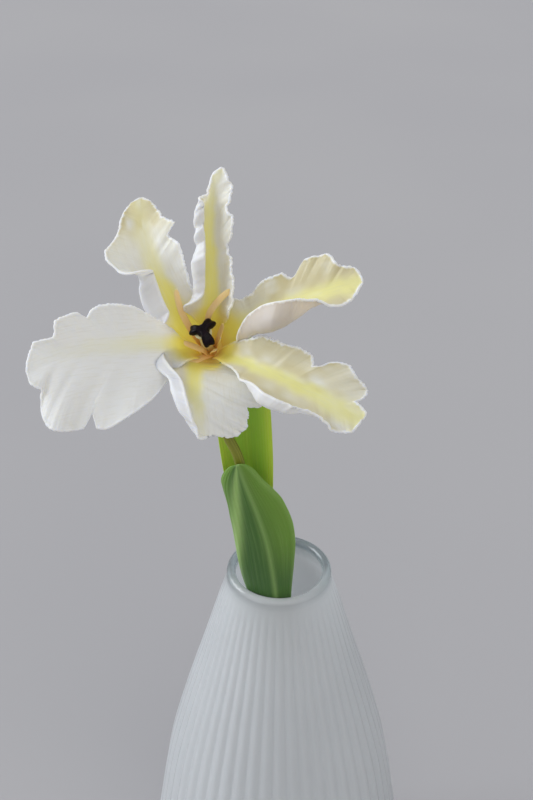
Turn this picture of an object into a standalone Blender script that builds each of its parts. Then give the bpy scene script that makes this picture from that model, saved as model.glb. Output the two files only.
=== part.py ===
"""Parrot tulip standing in a ribbed glass bottle vase.

One open bloom of six frilled petals on a leaning stem with two leaves.
Frame: +Z up, the camera side is -Y, origin at the middle of the vase's foot.
All sizes below are millimetres; MM turns them into Blender's metres.
"""

import bpy
import numpy as np

MM = 0.001
GAP = 0.3                      # clearance kept where two pieces touch

# Vase, turned about Z
VASE_HEIGHT = 225.0
FOOT_RADIUS = 44.0
WALL = 3.2
FLOOR_THICKNESS = 8.0
LIP_CENTRE_RADIUS = 19.2       # middle of the rounded rim
LIP_ROUND = 1.8                # radius of the rim's round section
RIB_COUNT = 48
COLUMNS_PER_RIB = 2
PROFILE = [                    # depth below the rim, outer radius
    (4.5, 20.3), (15, 24.1), (40, 31.6), (70, 40.4), (100, 47.9), (130, 52.9), (160, 56.8),
    (178, 57.4), (200, 55.0), (216, 49.5), (VASE_HEIGHT, FOOT_RADIUS),
]
OUTER_DEPTHS = [223, 216, 204, 186, 164, 140, 112, 82, 54, 32, 16, 6]
INNER_DEPTHS = [5, 20, 60, 110, 160, 200]
FOOT_BEVEL = 1.5
HOLLOW_CORNER = (10.0, 4.0, 3.0)   # inset of the floor, inset and height of the curve above it
RIB_DEPTH = [(0, 0.0), (8, 0.0), (22, 0.35), (70, 0.7), (150, 1.0), (205, 0.8), (225, 0.0)]

# Stem and flower
STEM_RADIUS = 1.9
STEM_SIDES = 12
FLOWER_BASE = np.array([-24.5, -14.0, 333.0])
FLOWER_AXIS = (-0.09, -0.56, 0.82)
STEM_PATH = [
    (24.0, -4.0, 8.55), (15.0, -8.0, 85.0), (5.0, -11.0, 155.0), (-5.5, -11.5, 224.0),
    (-9.5, -11.0, 250.0), (-14.7, -9.5, 282.5), (-19.0, -7.0, 293.0), (-22.0, -5.2, 306.0),
]
STEM_RINGS = 44
NECK = (17, 11, 6)             # the stem's last points, this far below the bloom
RECEPTACLE_TOP = -0.55         # height along the flower's axis, petals start at 0
RECEPTACLE = [                 # height, radius
    (-4.2, 2.5), (-3.0, 3.8), (-1.9, 5.2), (-1.2, 6.0), (RECEPTACLE_TOP, 5.7),
]

PETAL_THICKNESS = 0.7
PETAL_ROWS = 26
PETAL_COLUMNS = 4              # on each side of the midrib
LEAF_THICKNESS = 0.8
LEAF_ROWS = 18

INNER_ROOT = 3.7               # distance of a petal's root from the flower's axis
OUTER_ROOT = 5.0

# Every petal: directions in degrees, sizes in mm.
# rise and swing: (share of the length, angle) along the midrib.
# left and right: (distance along the midrib, half width) points of the outline.
# wing lifts a side as a whole, roll curls its outer part, wave is (count, height, phase).
PETALS = {
    "petal_1": dict(
        azimuth=78, length=60, root=INNER_ROOT,
        rise=[(0, 68), (0.15, 58), (0.35, 40), (0.7, 30), (1, 20)],
        swing=[(0, -5), (0.5, 20), (1, -5)],
        left=[(0, 1.5), (8, 4), (18, 12), (26, 14), (33, 13.5), (38, 11.5), (44, 11),
              (49, 8), (55, 4.5), (60, 0.7)],
        right=[(0, 1.5), (9, 4.5), (19, 12), (26, 10), (31, 7.5), (36, 10.5), (42, 11.5),
               (47, 6.5), (52, 7), (57, 3.5), (60, 0.7)],
        wing_left=[(0, 40), (0.3, 35), (0.7, 35), (1, 20)],
        wing_right=[(0, 45), (0.3, 60), (0.7, 55), (1, 20)],
        roll_left=[(0, 20), (0.3, 150), (0.75, 150), (0.88, 40), (1, 0)],
        roll_right=[(0, 0), (1, 0)],
        wave_left=(3, 0.8, 0), wave_right=(3, 0.6, 90)),
    "petal_2": dict(
        azimuth=131, length=60, root=OUTER_ROOT, roll_from=0.55,
        rise=[(0, 58), (0.2, 48), (0.45, 35), (0.62, 5), (0.8, -10), (1, -15)],
        swing=[(0, 20), (0.5, -10), (1, -30)],
        left=[(0, 1.8), (7, 4.5), (14, 7), (20, 14), (24, 20), (28, 17.5), (33, 16),
              (38, 16), (41, 12), (46, 8), (53, 6), (58, 4), (60, 0.8)],
        right=[(0, 1.5), (7, 3.5), (15, 7), (25, 10), (33, 11), (38, 8), (41, 11.5),
               (46, 8), (52, 6), (57, 4), (60, 0.8)],
        wing_left=[(0, 20), (0.2, 15), (0.42, 45), (0.6, 15), (1, 0)],
        wing_right=[(0, 20), (0.2, 35), (0.4, 40), (1, 0)],
        roll_left=[(0, 0), (0.2, 0), (0.38, 140), (0.44, 140), (0.52, 10), (1, 0)],
        roll_right=[(0, 0), (1, 0)],
        wave_left=(3, 0.8, 0), wave_right=(3, 0.6, 90)),
    "petal_3": dict(
        azimuth=208, length=61, root=INNER_ROOT,
        rise=[(0, 65), (0.15, 44), (0.35, 20), (0.7, 12), (1, 0)],
        swing=[(0, 5), (0.5, -10), (1, 5)],
        left=[(0, 1.5), (8, 2.5), (12, 5), (16, 10), (23, 18), (31, 23), (39, 25.5),
              (42, 25), (43, 20), (46, 24), (54, 24), (61, 21), (63, 16), (60, 10),
              (61, 5), (61, 0.8)],
        right=[(0, 1.5), (7, 3.5), (14, 8), (21, 13), (27, 16), (32, 16), (37, 13),
               (41, 15), (47, 14), (49, 10), (55, 9), (58, 6), (60, 3), (61, 0.8)],
        wing_left=[(0, 40), (0.15, 20), (0.3, 0), (1, -10)],
        wing_right=[(0, 50), (0.2, 60), (0.4, 45), (1, 20)],
        roll_left=[(0, 0), (1, 0)],
        roll_right=[(0, 0), (1, 0)],
        wave_left=(3.5, 1.0, 0), wave_right=(3, 0.8, 90)),
    "petal_4": dict(
        azimuth=275, length=41, root=OUTER_ROOT,
        rise=[(0, 60), (0.25, 50), (0.5, 32), (0.72, 0), (1, -45)],
        swing=[(0, -10), (0.5, 10), (1, 15)],
        left=[(0, 1.8), (8, 6), (16, 11), (23, 16), (30, 20), (35, 18), (34, 14),
              (37, 14), (42, 12), (44, 7), (42, 3), (41, 0.8)],
        right=[(0, 1.5), (7, 2.5), (11, 6), (16, 12), (22, 18), (28, 18), (33, 13),
               (38, 9), (41, 5), (41, 0.8)],
        wing_left=[(0, 10), (0.3, -10), (1, -20)],
        wing_right=[(0, 35), (0.4, 30), (1, 10)],
        roll_left=[(0, 0), (1, 0)],
        roll_right=[(0, 0), (0.2, 60), (0.5, 140), (0.8, 140), (0.95, 20), (1, 0)],
        wave_left=(3, 0.8, 0), wave_right=(3, 0.8, 90)),
    "petal_5": dict(
        azimuth=330, length=63, root=INNER_ROOT,
        rise=[(0, 62), (0.2, 36), (0.5, 14), (1, -3)],
        swing=[(0, -5), (0.5, 5), (1, 0)],
        left=[(0, 1.5), (6, 3), (13, 5.5), (19, 7.5), (26, 10.5), (31, 9), (36, 10.5),
              (41, 10), (43, 6.5), (49, 9), (56, 9), (61, 7), (61, 5), (63, 3.5), (63, 0.8)],
        right=[(0, 1.5), (8, 4), (16, 12), (24, 17), (31, 16), (38, 11), (46, 10),
               (50, 8), (57, 8), (61, 5), (63, 0.8)],
        wing_left=[(0, 45), (0.12, 65), (0.3, 60), (0.45, 35), (1, 10)],
        wing_right=[(0, 40), (0.15, 40), (0.4, 20), (0.7, 10), (1, 0)],
        roll_left=[(0, 0), (1, 0)],
        roll_right=[(0, 20), (0.2, 120), (0.5, 140), (0.65, 20), (1, 0)],
        wave_left=(3.5, 1.0, 0), wave_right=(3, 0.8, 90)),
    "petal_6": dict(
        azimuth=15, length=59, root=OUTER_ROOT,
        rise=[(0, 58), (0.2, 50), (0.5, 32), (1, 15)],
        swing=[(0, 10), (0.5, 0), (1, -5)],
        left=[(0, 1.8), (8, 5), (14, 8), (21, 7.5), (28, 10), (34, 10), (37, 7.5),
              (43, 12), (50, 11.5), (53, 7), (57, 5), (59, 0.8)],
        right=[(0, 1.5), (8, 3), (16, 6), (22, 11), (28, 16), (35, 16), (41, 11),
               (46, 11), (51, 9), (55, 6), (59, 0.8)],
        wing_left=[(0, 20), (0.2, 35), (0.5, 25), (1, 10)],
        wing_right=[(0, 10), (0.2, 15), (0.42, 35), (0.7, 20), (1, 0)],
        roll_left=[(0, 0), (1, 0)],
        roll_right=[(0, 0), (0.18, 30), (0.32, 110), (0.42, 130), (0.6, 140),
                    (0.75, 10), (1, 0)],
        wave_left=(3, 0.8, 0), wave_right=(3, 0.8, 90)),
}

# Leaves: the midrib passes through the points of path, the inner face looks along inside.
LEAVES = {
    "leaf_front": dict(
        path=[(-0.6, -14.2, 190.0), (-1.1, -15.3, 207.0), (-1.4, -16.3, 224.0),
              (-4.3, -17.2, 248.0), (-8.2, -16.6, 264.0), (-13.2, -14.6, 278.0),
              (-16.2, -12.6, 287.0)],
        inside=(0.0, 1.0, 0.0),
        left=[(0, 3), (12, 4), (34, 5.5), (60, 9), (75, 12), (85, 12), (95, 7), (101, 1)],
        right=[(0, 3), (12, 6), (34, 16), (60, 17), (78, 13), (92, 8), (98, 4), (101, 1)],
        wing_left=[(0, 42), (0.15, 32), (0.35, 20), (0.55, 12), (1, 20)],
        wing_right=[(0, 45), (0.15, 34), (0.35, 27), (0.55, 18), (1, 20)],
        roll_left=[(0, 20), (0.15, 10), (1, 10)],
        roll_right=[(0, 40), (0.2, 60), (0.35, 80), (0.8, 90), (1, 40)],
        wave_left=(1, 0.0, 0), wave_right=(1, 0.0, 0)),
    "leaf_back": dict(
        path=[(-7.0, -8.6, 232.0), (-9.3, -3.2, 250.0), (-11.6, 1.2, 270.0),
              (-12.8, 4.0, 292.0), (-13.2, 4.2, 314.0), (-13.2, 1.0, 332.0)],
        inside=(0.0, -1.0, 0.0),
        left=[(0, 3), (12, 5), (30, 10), (50, 11.5), (66, 11), (84, 8), (98, 4), (102, 1)],
        right=[(0, 3), (12, 5), (30, 10), (50, 11.5), (66, 11), (84, 8), (98, 4), (102, 1)],
        wing_left=[(0, 40), (0.2, 38), (0.45, 35), (0.65, 15), (1, 15)],
        wing_right=[(0, 40), (0.2, 38), (0.5, 35), (1, 25)],
        roll_left=[(0, 30), (0.2, 20), (1, 0)],
        roll_right=[(0, 30), (0.2, 20), (1, 0)],
        wave_left=(1, 0.0, 0), wave_right=(1, 0.0, 0)),
}

# Pistil, stigma and stamens, heights along the flower's axis
PISTIL = [                     # height, radius
    (RECEPTACLE_TOP + GAP, 1.45), (1.5, 1.6), (5.0, 1.9), (9.0, 1.8), (11.5, 1.5), (13.7, 1.4),
]
STIGMA_HEIGHT = 15.6
STIGMA_LOBES = [(65, 5.0), (175, 4.4), (293, 4.8)]     # azimuth, reach
STIGMA_HUB = 1.9
STIGMA_HALF_HEIGHT = 1.6
STIGMA_DROOP = 0.05            # how much the lobes hang, per square of the distance
STIGMA_SIDES = 36
STIGMA_RINGS = 8
LOBE_WIDTH = 26                # degrees to either side of a lobe's middle
STAMEN_RING_RADIUS = 2.45
STAMEN_RING_SECTION = 0.35
STAMEN_WIDTH = 1.6
STAMEN_THICKNESS = 0.7
STAMENS = [                    # azimuth, length, rise knots, swing knots
    (158, 24, [(0, 80), (0.35, 58), (1, 50)], [(0, 0), (0.4, -20), (1, -60)]),
    (100, 26, [(0, 86), (0.35, 76), (0.6, 55), (1, 34)], [(0, 10), (0.35, 0), (0.6, -50), (1, -75)]),
    (188, 11, [(0, 80), (0.4, 68), (1, 56)], [(0, 0), (1, 15)]),
    (244, 16, [(0, 78), (0.4, 52), (1, 40)], [(0, 0), (1, -10)]),
    (28, 14, [(0, 80), (0.4, 70), (1, 66)], [(0, 0), (1, 5)]),
    (310, 12, [(0, 82), (0.4, 70), (1, 55)], [(0, 0), (1, 5)]),
]


# Curves and frames

def unit(vectors):
    """Vectors scaled to length one."""
    return vectors / np.linalg.norm(vectors, axis=-1, keepdims=True)


def smooth(knots, where):
    """Value at where of a curve through the knots that never overshoots them."""
    x, y = np.array(knots, float).T
    step = np.diff(x)
    slope = np.diff(y) / step
    tangent = np.zeros_like(y)
    same = slope[:-1] * slope[1:] > 0
    before = slope[:-1][same]
    after = slope[1:][same]
    tangent[1:-1][same] = 2 * before * after / (before + after)
    tangent[0] = slope[0]
    tangent[-1] = slope[-1]
    where = np.clip(where, x[0], x[-1])
    k = np.clip(np.searchsorted(x, where, side="right") - 1, 0, len(step) - 1)
    s = (where - x[k]) / step[k]
    return ((1 + 2 * s) * (1 - s) ** 2 * y[k] + s * (1 - s) ** 2 * step[k] * tangent[k]
            + s * s * (3 - 2 * s) * y[k + 1] + s * s * (s - 1) * step[k] * tangent[k + 1])


def flower_frame():
    """Right, up and outward directions of the bloom."""
    axis = unit(np.array(FLOWER_AXIS))
    right = unit(np.cross(axis, (0.0, 0.0, 1.0)))
    right = right * np.sign(right[0])
    return right, unit(np.cross(axis, right)), axis


def through(points, count):
    """Evenly spaced points of a rounded line through the given points (Catmull-Rom)."""
    p = np.array(points, float)
    p = np.vstack([2 * p[0] - p[1], p, 2 * p[-1] - p[-2]])
    dense = []
    for k in range(1, len(p) - 2):
        s = np.linspace(0, 1, 30, endpoint=False)[:, None]
        a, b, c, d = p[k - 1], p[k], p[k + 1], p[k + 2]
        dense.append(0.5 * (2 * b + (c - a) * s + (2 * a - 5 * b + 4 * c - d) * s ** 2
                            + (3 * b - a - 3 * c + d) * s ** 3))
    dense = np.vstack(dense + [p[-2][None]])
    run = np.concatenate([[0], np.cumsum(np.linalg.norm(np.diff(dense, axis=0), axis=1))])
    even = np.linspace(0, run[-1], count)
    return np.stack([np.interp(even, run, dense[:, k]) for k in range(3)], -1), run[-1]


# Midribs

SPINE_POINTS = 241


def radial_spine(base, azimuth, length, root, rise, swing):
    """Midrib that leaves the flower's axis at an azimuth, with knots for its angles."""
    right, up, axis = flower_frame()
    phi = np.radians(azimuth)
    outward = np.cos(phi) * right + np.sin(phi) * up
    sideways = np.cos(phi) * up - np.sin(phi) * right
    s = np.linspace(0, length, SPINE_POINTS)
    climb = np.radians(smooth(rise, s / length))[:, None]
    turn = np.radians(smooth(swing, s / length))[:, None]
    heading = np.cos(turn) * outward + np.sin(turn) * sideways
    tangent = np.cos(climb) * heading + np.sin(climb) * axis
    across = np.cos(turn) * sideways - np.sin(turn) * outward
    steps = (tangent[1:] + tangent[:-1]) / 2 * (s[1] - s[0])
    points = base + root * outward + np.vstack([np.zeros(3), np.cumsum(steps, axis=0)])
    return dict(s=s, length=length, points=points, tangent=tangent, across=across,
                inward=np.cross(tangent, across))


def path_spine(path, inside):
    """Midrib through given points, with the inner face turned towards inside."""
    points, length = through(path, SPINE_POINTS)
    tangent = unit(np.gradient(points, axis=0))
    inward = np.array(inside) - (tangent @ np.array(inside))[:, None] * tangent
    inward = unit(inward)
    return dict(s=np.linspace(0, length, SPINE_POINTS), length=length, points=points,
                tangent=tangent, across=np.cross(inward, tangent), inward=inward)


# Blades

VEIN_SLANT = 1.3               # how steeply the grid lines run towards the tip
BEND_STEPS = 16


def outline_curve(outline, share):
    """Point of an outline at a share of its length."""
    o = np.array(outline, float)
    run = np.concatenate([[0], np.cumsum(np.hypot(*np.diff(o, axis=0).T))])
    run = run / run[-1]
    along = smooth(list(zip(run, o[:, 0])), share)
    width = smooth(list(zip(run, o[:, 1])), share)
    return along, width


def station_curve(outline, length):
    """Where on the midrib the line to each outline point starts."""
    share = np.linspace(0, 1, 400)
    along, width = outline_curve(outline, share)
    lean = VEIN_SLANT * np.clip((share - 0.2) / 0.6, 0, 1)
    start = 0.35 * length * share + 0.65 * (along - lean * width)
    start = np.maximum.accumulate(start - start[0])
    start = start + 0.02 * length * share
    return share, start * length / start[-1]


def bend(spine, blade, side, along, across, share):
    """Flat blade point, along the midrib and out to one side, to its place in space."""
    length = spine["length"]
    sign = 1.0 if side == "left" else -1.0
    on_rib = np.clip(along, 0, length)

    def pick(field):
        return np.stack([np.interp(on_rib, spine["s"], spine[field][:, k])
                         for k in range(3)], -1)

    origin = pick("points") + pick("tangent") * (along - on_rib)[..., None]
    side_way = unit(pick("across"))
    in_way = unit(pick("inward"))
    wing = np.radians(smooth(blade["wing_" + side], on_rib / length))
    roll = np.radians(smooth(blade["roll_" + side], on_rib / length))
    roll_from = blade.get("roll_from", 0.5)
    out = np.zeros_like(across)
    lift = np.zeros_like(across)
    for k in range(BEND_STEPS):
        part = (k + 0.5) / BEND_STEPS
        ease = 1 - np.exp(-across * part / 2.5)
        curl = np.clip((share * part - roll_from) / (1 - roll_from), 0, 1)
        curl = curl * curl * (3 - 2 * curl)
        angle = wing * ease + roll * curl
        out = out + np.cos(angle) * across / BEND_STEPS
        lift = lift + np.sin(angle) * across / BEND_STEPS
    rim_angle = wing + roll * np.clip((share - roll_from) / (1 - roll_from), 0, 1)
    return origin, side_way * sign, in_way, out, lift, rim_angle


def blade_grid(spine, blade, rows, columns):
    """Grid of points of a blade's middle surface, left margin to right margin."""
    length = spine["length"]
    even = np.linspace(0, 1, rows + 1)
    curves = {}
    for side in ("left", "right"):
        curves[side] = station_curve(blade[side], length)
    stations = sum(np.interp(even, *curves[side]) for side in curves) / 2
    across_share = np.linspace(0, 1, columns + 1)
    grid = np.zeros((rows + 1, 2 * columns + 1, 3))
    for side in ("left", "right"):
        share, start = curves[side]
        at = np.interp(stations, start, share)
        edge_along, edge_width = outline_curve(blade[side], at)
        along = stations[:, None] + (edge_along - stations)[:, None] * across_share
        across = edge_width[:, None] * across_share
        shares = np.broadcast_to(across_share, across.shape)
        origin, side_way, in_way, out, lift, rim = bend(spine, blade, side, along, across, shares)
        count, height, phase = blade["wave_" + side]
        at = at[:, None]
        fade = np.clip(at / 0.25, 0, 1) * np.clip((1.06 - at) / 0.2, 0, 1)
        ripple = height * fade * np.clip((shares - 0.2) / 0.8, 0, 1) ** 1.6
        ripple = ripple * np.sin(2 * np.pi * count * at + np.radians(phase))
        lift = lift + ripple * np.cos(rim)
        out = out - ripple * np.sin(rim)
        points = origin + out[..., None] * side_way + lift[..., None] * in_way
        for k in range(columns + 1):
            column = columns - k if side == "left" else columns + k
            grid[:, column] = points[:, k]
    return grid


# Meshes

def material(name, colour, roughness, alpha=1.0, metallic=0.0):
    """Plain Principled material."""
    new = bpy.data.materials.new(name)
    new.use_nodes = True
    shader = new.node_tree.nodes["Principled BSDF"]
    shader.inputs["Base Color"].default_value = (*colour, 1.0)
    shader.inputs["Roughness"].default_value = roughness
    shader.inputs["Metallic"].default_value = metallic
    shader.inputs["Alpha"].default_value = alpha
    return new


def add_object(name, vertices, faces, finish, sharp_angle=50):
    """Object from points in millimetres."""
    mesh = bpy.data.meshes.new(name)
    mesh.from_pydata((np.asarray(vertices) * MM).tolist(), [], faces)
    mesh.validate()
    mesh.shade_smooth()
    mesh.set_sharp_from_angle(angle=np.radians(sharp_angle))
    mesh.materials.append(finish)
    new = bpy.data.objects.new(name, mesh)
    bpy.context.scene.collection.objects.link(new)
    return new


def sheet_faces(rows, columns):
    """Triangles of a closed sheet: front grid, back grid behind it and the rim."""
    width = columns + 1
    back = (rows + 1) * width
    faces = []
    for i in range(rows):
        for j in range(columns):
            a = i * width + j
            b, c, d = a + 1, a + width + 1, a + width
            faces += [(a, b, c), (a, c, d)]
            faces += [(a + back, c + back, b + back), (a + back, d + back, c + back)]
    rim = [j for j in range(width)]
    rim += [i * width + columns for i in range(1, rows + 1)]
    rim += [rows * width + j for j in range(columns - 1, -1, -1)]
    rim += [i * width for i in range(rows - 1, 0, -1)]
    for k, a in enumerate(rim):
        b = rim[(k + 1) % len(rim)]
        faces += [(b, a, a + back), (b, a + back, b + back)]
    return faces


def add_sheet(name, grid, thickness, finish):
    """Closed solid of even thickness about a grid of points."""
    along = np.gradient(grid, axis=0)
    across = np.gradient(grid, axis=1)
    normal = unit(np.cross(across, along))
    front = grid + normal * thickness / 2
    back = grid - normal * thickness / 2
    rows, columns = grid.shape[0] - 1, grid.shape[1] - 1
    vertices = np.vstack([front.reshape(-1, 3), back.reshape(-1, 3)])
    return add_object(name, vertices, sheet_faces(rows, columns), finish, 80)


def tube_mesh(path, radii, sides, squash=None, facing=None):
    """Points and faces of a closed tube; squash flattens it along facing."""
    path = np.array(path, float)
    tangent = unit(np.gradient(path, axis=0))
    helper = np.array(facing if facing is not None else (0.3, 1.0, 0.1))
    first = unit(helper - (tangent @ helper)[:, None] * tangent)
    second = np.cross(tangent, first)
    turn = np.linspace(0, 2 * np.pi, sides, endpoint=False)
    radii = np.broadcast_to(radii, (len(path),))
    flat = radii if squash is None else np.broadcast_to(squash, (len(path),))
    rings = (path[:, None] + flat[:, None, None] * np.cos(turn)[None, :, None] * first[:, None]
             + radii[:, None, None] * np.sin(turn)[None, :, None] * second[:, None])
    vertices = rings.reshape(-1, 3).tolist()
    faces = []
    for i in range(len(path) - 1):
        for j in range(sides):
            a = i * sides + j
            b = i * sides + (j + 1) % sides
            faces += [(a, b, b + sides), (a, b + sides, a + sides)]
    last = (len(path) - 1) * sides
    faces.append(tuple(range(sides - 1, -1, -1)))
    faces.append(tuple(last + j for j in range(sides)))
    return vertices, faces


# Pieces

def vase_rings():
    """Turned section from the middle of the foot, up the outside and down the hollow."""
    rings = [(0.0, VASE_HEIGHT, 0.0), (FOOT_RADIUS - FOOT_BEVEL, VASE_HEIGHT, 0.0)]
    for depth in OUTER_DEPTHS:
        rings.append((float(smooth(PROFILE, depth)), depth, float(smooth(RIB_DEPTH, depth))))
    for a in np.radians([0, 45, 90, 135, 180]):
        rings.append((LIP_CENTRE_RADIUS + LIP_ROUND * np.cos(a), LIP_ROUND * (1 - np.sin(a)), 0.0))
    throat = LIP_CENTRE_RADIUS - LIP_ROUND
    for depth in INNER_DEPTHS:
        rings.append((max(float(smooth(PROFILE, depth)) - WALL, throat), depth, 0.0))
    floor = VASE_HEIGHT - FLOOR_THICKNESS
    floor_radius = float(smooth(PROFILE, floor)) - WALL
    inset, curve_inset, curve_height = HOLLOW_CORNER
    rings.append((floor_radius - curve_inset, floor - curve_height, 0.0))
    rings.append((floor_radius - inset, floor, 0.0))
    rings.append((0.0, floor, 0.0))
    return rings


def make_vase(finish):
    """Ribbed bottle with a smooth rounded rim, a hollow and a flat foot."""
    columns = RIB_COUNT * COLUMNS_PER_RIB
    rings = vase_rings()
    vertices = []
    starts = []
    for radius, depth, groove in rings:
        starts.append(len(vertices))
        height = VASE_HEIGHT - depth
        if radius == 0.0:
            vertices.append((0.0, 0.0, height))
            continue
        for k in range(columns):
            turn = 2 * np.pi * k / columns
            r = radius - groove * (k % COLUMNS_PER_RIB)
            vertices.append((r * np.cos(turn), r * np.sin(turn), height))
    faces = []
    for i in range(len(rings) - 1):
        a, b = starts[i], starts[i + 1]
        for k in range(columns):
            n = (k + 1) % columns
            if rings[i][0] == 0.0:
                faces.append((a, b + n, b + k))
            elif rings[i + 1][0] == 0.0:
                faces.append((a + k, a + n, b))
            else:
                faces.append((a + k, a + n, b + n, b + k))
    return add_object("vase", vertices, faces, finish, 60)


def make_stem(finish):
    """Stem with its swollen end, the receptacle that the petals stand on."""
    axis = flower_frame()[2]
    neck = [tuple(FLOWER_BASE - axis * below) for below in NECK]
    path, _ = through(STEM_PATH + neck, STEM_RINGS)
    radii = np.full(len(path), STEM_RADIUS)
    path = np.vstack([path] + [FLOWER_BASE + axis * height for height, _ in RECEPTACLE])
    radii = np.concatenate([radii, [radius for _, radius in RECEPTACLE]])
    vertices, faces = tube_mesh(path, radii, STEM_SIDES)
    return add_object("stem", vertices, faces, finish)


def make_petals(finish):
    """Three inner petals (1, 3, 5) and three outer ones (2, 4, 6)."""
    for name, petal in PETALS.items():
        spine = radial_spine(FLOWER_BASE, petal["azimuth"], petal["length"], petal["root"],
                             petal["rise"], petal["swing"])
        grid = blade_grid(spine, petal, PETAL_ROWS, PETAL_COLUMNS)
        add_sheet(name, grid, PETAL_THICKNESS, finish)


def make_leaves(finish):
    """Two leaves that sheathe the stem at their feet."""
    for name, leaf in LEAVES.items():
        spine = path_spine(leaf["path"], leaf["inside"])
        grid = blade_grid(spine, leaf, LEAF_ROWS, PETAL_COLUMNS)
        add_sheet(name, grid, LEAF_THICKNESS, finish)


def make_pistil(finish):
    """Pale column between the stamens, slightly narrower at its foot and top."""
    axis = flower_frame()[2]
    path = [FLOWER_BASE + axis * height for height, _ in PISTIL]
    vertices, faces = tube_mesh(path, [radius for _, radius in PISTIL], STEM_SIDES)
    return add_object("pistil", vertices, faces, finish)


def lobe_reach(phi):
    """How far the stigma reaches from its middle at an azimuth in degrees."""
    reach = STIGMA_HUB
    for azimuth, length in STIGMA_LOBES:
        off = abs((phi - azimuth + 180) % 360 - 180) / LOBE_WIDTH
        reach = max(reach, STIGMA_HUB + (length - STIGMA_HUB) * np.exp(-off ** 4))
    return reach


def make_stigma(finish):
    """Dark cap of three drooping lobes."""
    right, up, axis = flower_frame()
    centre = FLOWER_BASE + axis * STIGMA_HEIGHT
    around, rings = STIGMA_SIDES, STIGMA_RINGS
    vertices = [centre - STIGMA_HALF_HEIGHT * axis]
    for i in range(1, rings):
        tilt = np.pi * (i / rings - 0.5)
        for j in range(around):
            phi = 360.0 * j / around
            r = lobe_reach(phi) * np.cos(tilt)
            h = STIGMA_HALF_HEIGHT * np.sin(tilt) - STIGMA_DROOP * r * r
            turn = np.radians(phi)
            vertices.append(centre + r * (np.cos(turn) * right + np.sin(turn) * up) + h * axis)
    vertices.append(centre + STIGMA_HALF_HEIGHT * axis)
    faces = []
    for j in range(around):
        n = (j + 1) % around
        faces.append((0, 1 + n, 1 + j))
        top = 1 + (rings - 2) * around
        faces.append((top + j, top + n, len(vertices) - 1))
        for i in range(rings - 2):
            a = 1 + i * around
            faces.append((a + j, a + n, a + around + n))
            faces.append((a + j, a + around + n, a + around + j))
    return add_object("stigma", vertices, faces, finish)


def make_stamens(finish):
    """Six flat filaments rooted in one low ring around the pistil's foot."""
    right, up, axis = flower_frame()
    group = bpy.data.collections.new("stamen_parts")
    bpy.context.scene.collection.children.link(group)
    ring_height = RECEPTACLE_TOP + GAP + STAMEN_RING_SECTION
    centre = FLOWER_BASE + axis * ring_height
    around, section = 24, 6
    vertices = []
    faces = []
    for j in range(around):
        turn = 2 * np.pi * j / around
        outward = np.cos(turn) * right + np.sin(turn) * up
        for k in range(section):
            a = 2 * np.pi * k / section
            r = STAMEN_RING_RADIUS + STAMEN_RING_SECTION * np.cos(a)
            vertices.append(centre + r * outward + STAMEN_RING_SECTION * np.sin(a) * axis)
    for j in range(around):
        n = (j + 1) % around
        for k in range(section):
            m = (k + 1) % section
            a, b = j * section, n * section
            faces.append((a + k, b + k, b + m, a + m))
    ring = add_object("stamens", vertices, faces, finish)
    for k, (azimuth, length, rise, swing) in enumerate(STAMENS):
        spine = radial_spine(centre, azimuth, length, STAMEN_RING_RADIUS, rise, swing)
        pick = np.linspace(0, SPINE_POINTS - 1, 9).astype(int)
        points = spine["points"][pick]
        share = np.linspace(0, 1, len(pick))
        half_width = STAMEN_WIDTH / 2 * smooth([(0, 0.45), (0.2, 0.9), (0.7, 1.0), (1, 0.35)], share)
        half_thick = STAMEN_THICKNESS / 2 * smooth([(0, 0.8), (0.3, 1), (1, 0.6)], share)
        inward = spine["inward"][0]
        verts, quads = tube_mesh(points, half_width, 8, half_thick, inward)
        piece = add_object("filament", verts, quads, finish)
        bpy.context.scene.collection.objects.unlink(piece)
        group.objects.link(piece)
    fuse(ring, group)
    return ring


def fuse(base, group):
    """Union of a collection's objects into base."""
    union = base.modifiers.new("union", "BOOLEAN")
    union.operand_type = "COLLECTION"
    union.collection = group
    union.operation = "UNION"
    union.solver = "EXACT"
    bpy.context.view_layer.update()
    graph = bpy.context.evaluated_depsgraph_get()
    joined = bpy.data.meshes.new_from_object(base.evaluated_get(graph))
    base.modifiers.clear()
    base.data = joined
    for piece in list(group.objects):
        bpy.data.objects.remove(piece)
    bpy.data.collections.remove(group)


def main():
    for old in list(bpy.data.objects):
        bpy.data.objects.remove(old)
    glass = material("opal_glass", (0.62, 0.66, 0.68), 0.12, alpha=0.9)
    cream = material("petal_cream", (0.80, 0.76, 0.62), 0.5)
    leaf_green = material("leaf_green", (0.13, 0.26, 0.05), 0.45)
    stem_green = material("stem_olive", (0.16, 0.15, 0.03), 0.5)
    orange = material("stamen_peach", (0.66, 0.38, 0.13), 0.5)
    pale = material("pistil_pale", (0.70, 0.68, 0.48), 0.5)
    black = material("stigma_black", (0.012, 0.006, 0.012), 0.2)
    make_vase(glass)
    make_stem(stem_green)
    make_leaves(leaf_green)
    make_petals(cream)
    make_pistil(pale)
    make_stigma(black)
    make_stamens(orange)


main()
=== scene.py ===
# %% [markdown]
# # A parrot tulip in a ribbed bottle vase
#
# One open bloom stands on a leaning stem in a small bottle of opal glass.
# The solids for collision and size are already there, packed as a fixed frame.
# This lesson dresses them: fine petals with frilled white rims, veined leaves, a glossy
# stigma and a vase with soft ribs. Every piece stays where its solid is.

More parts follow.
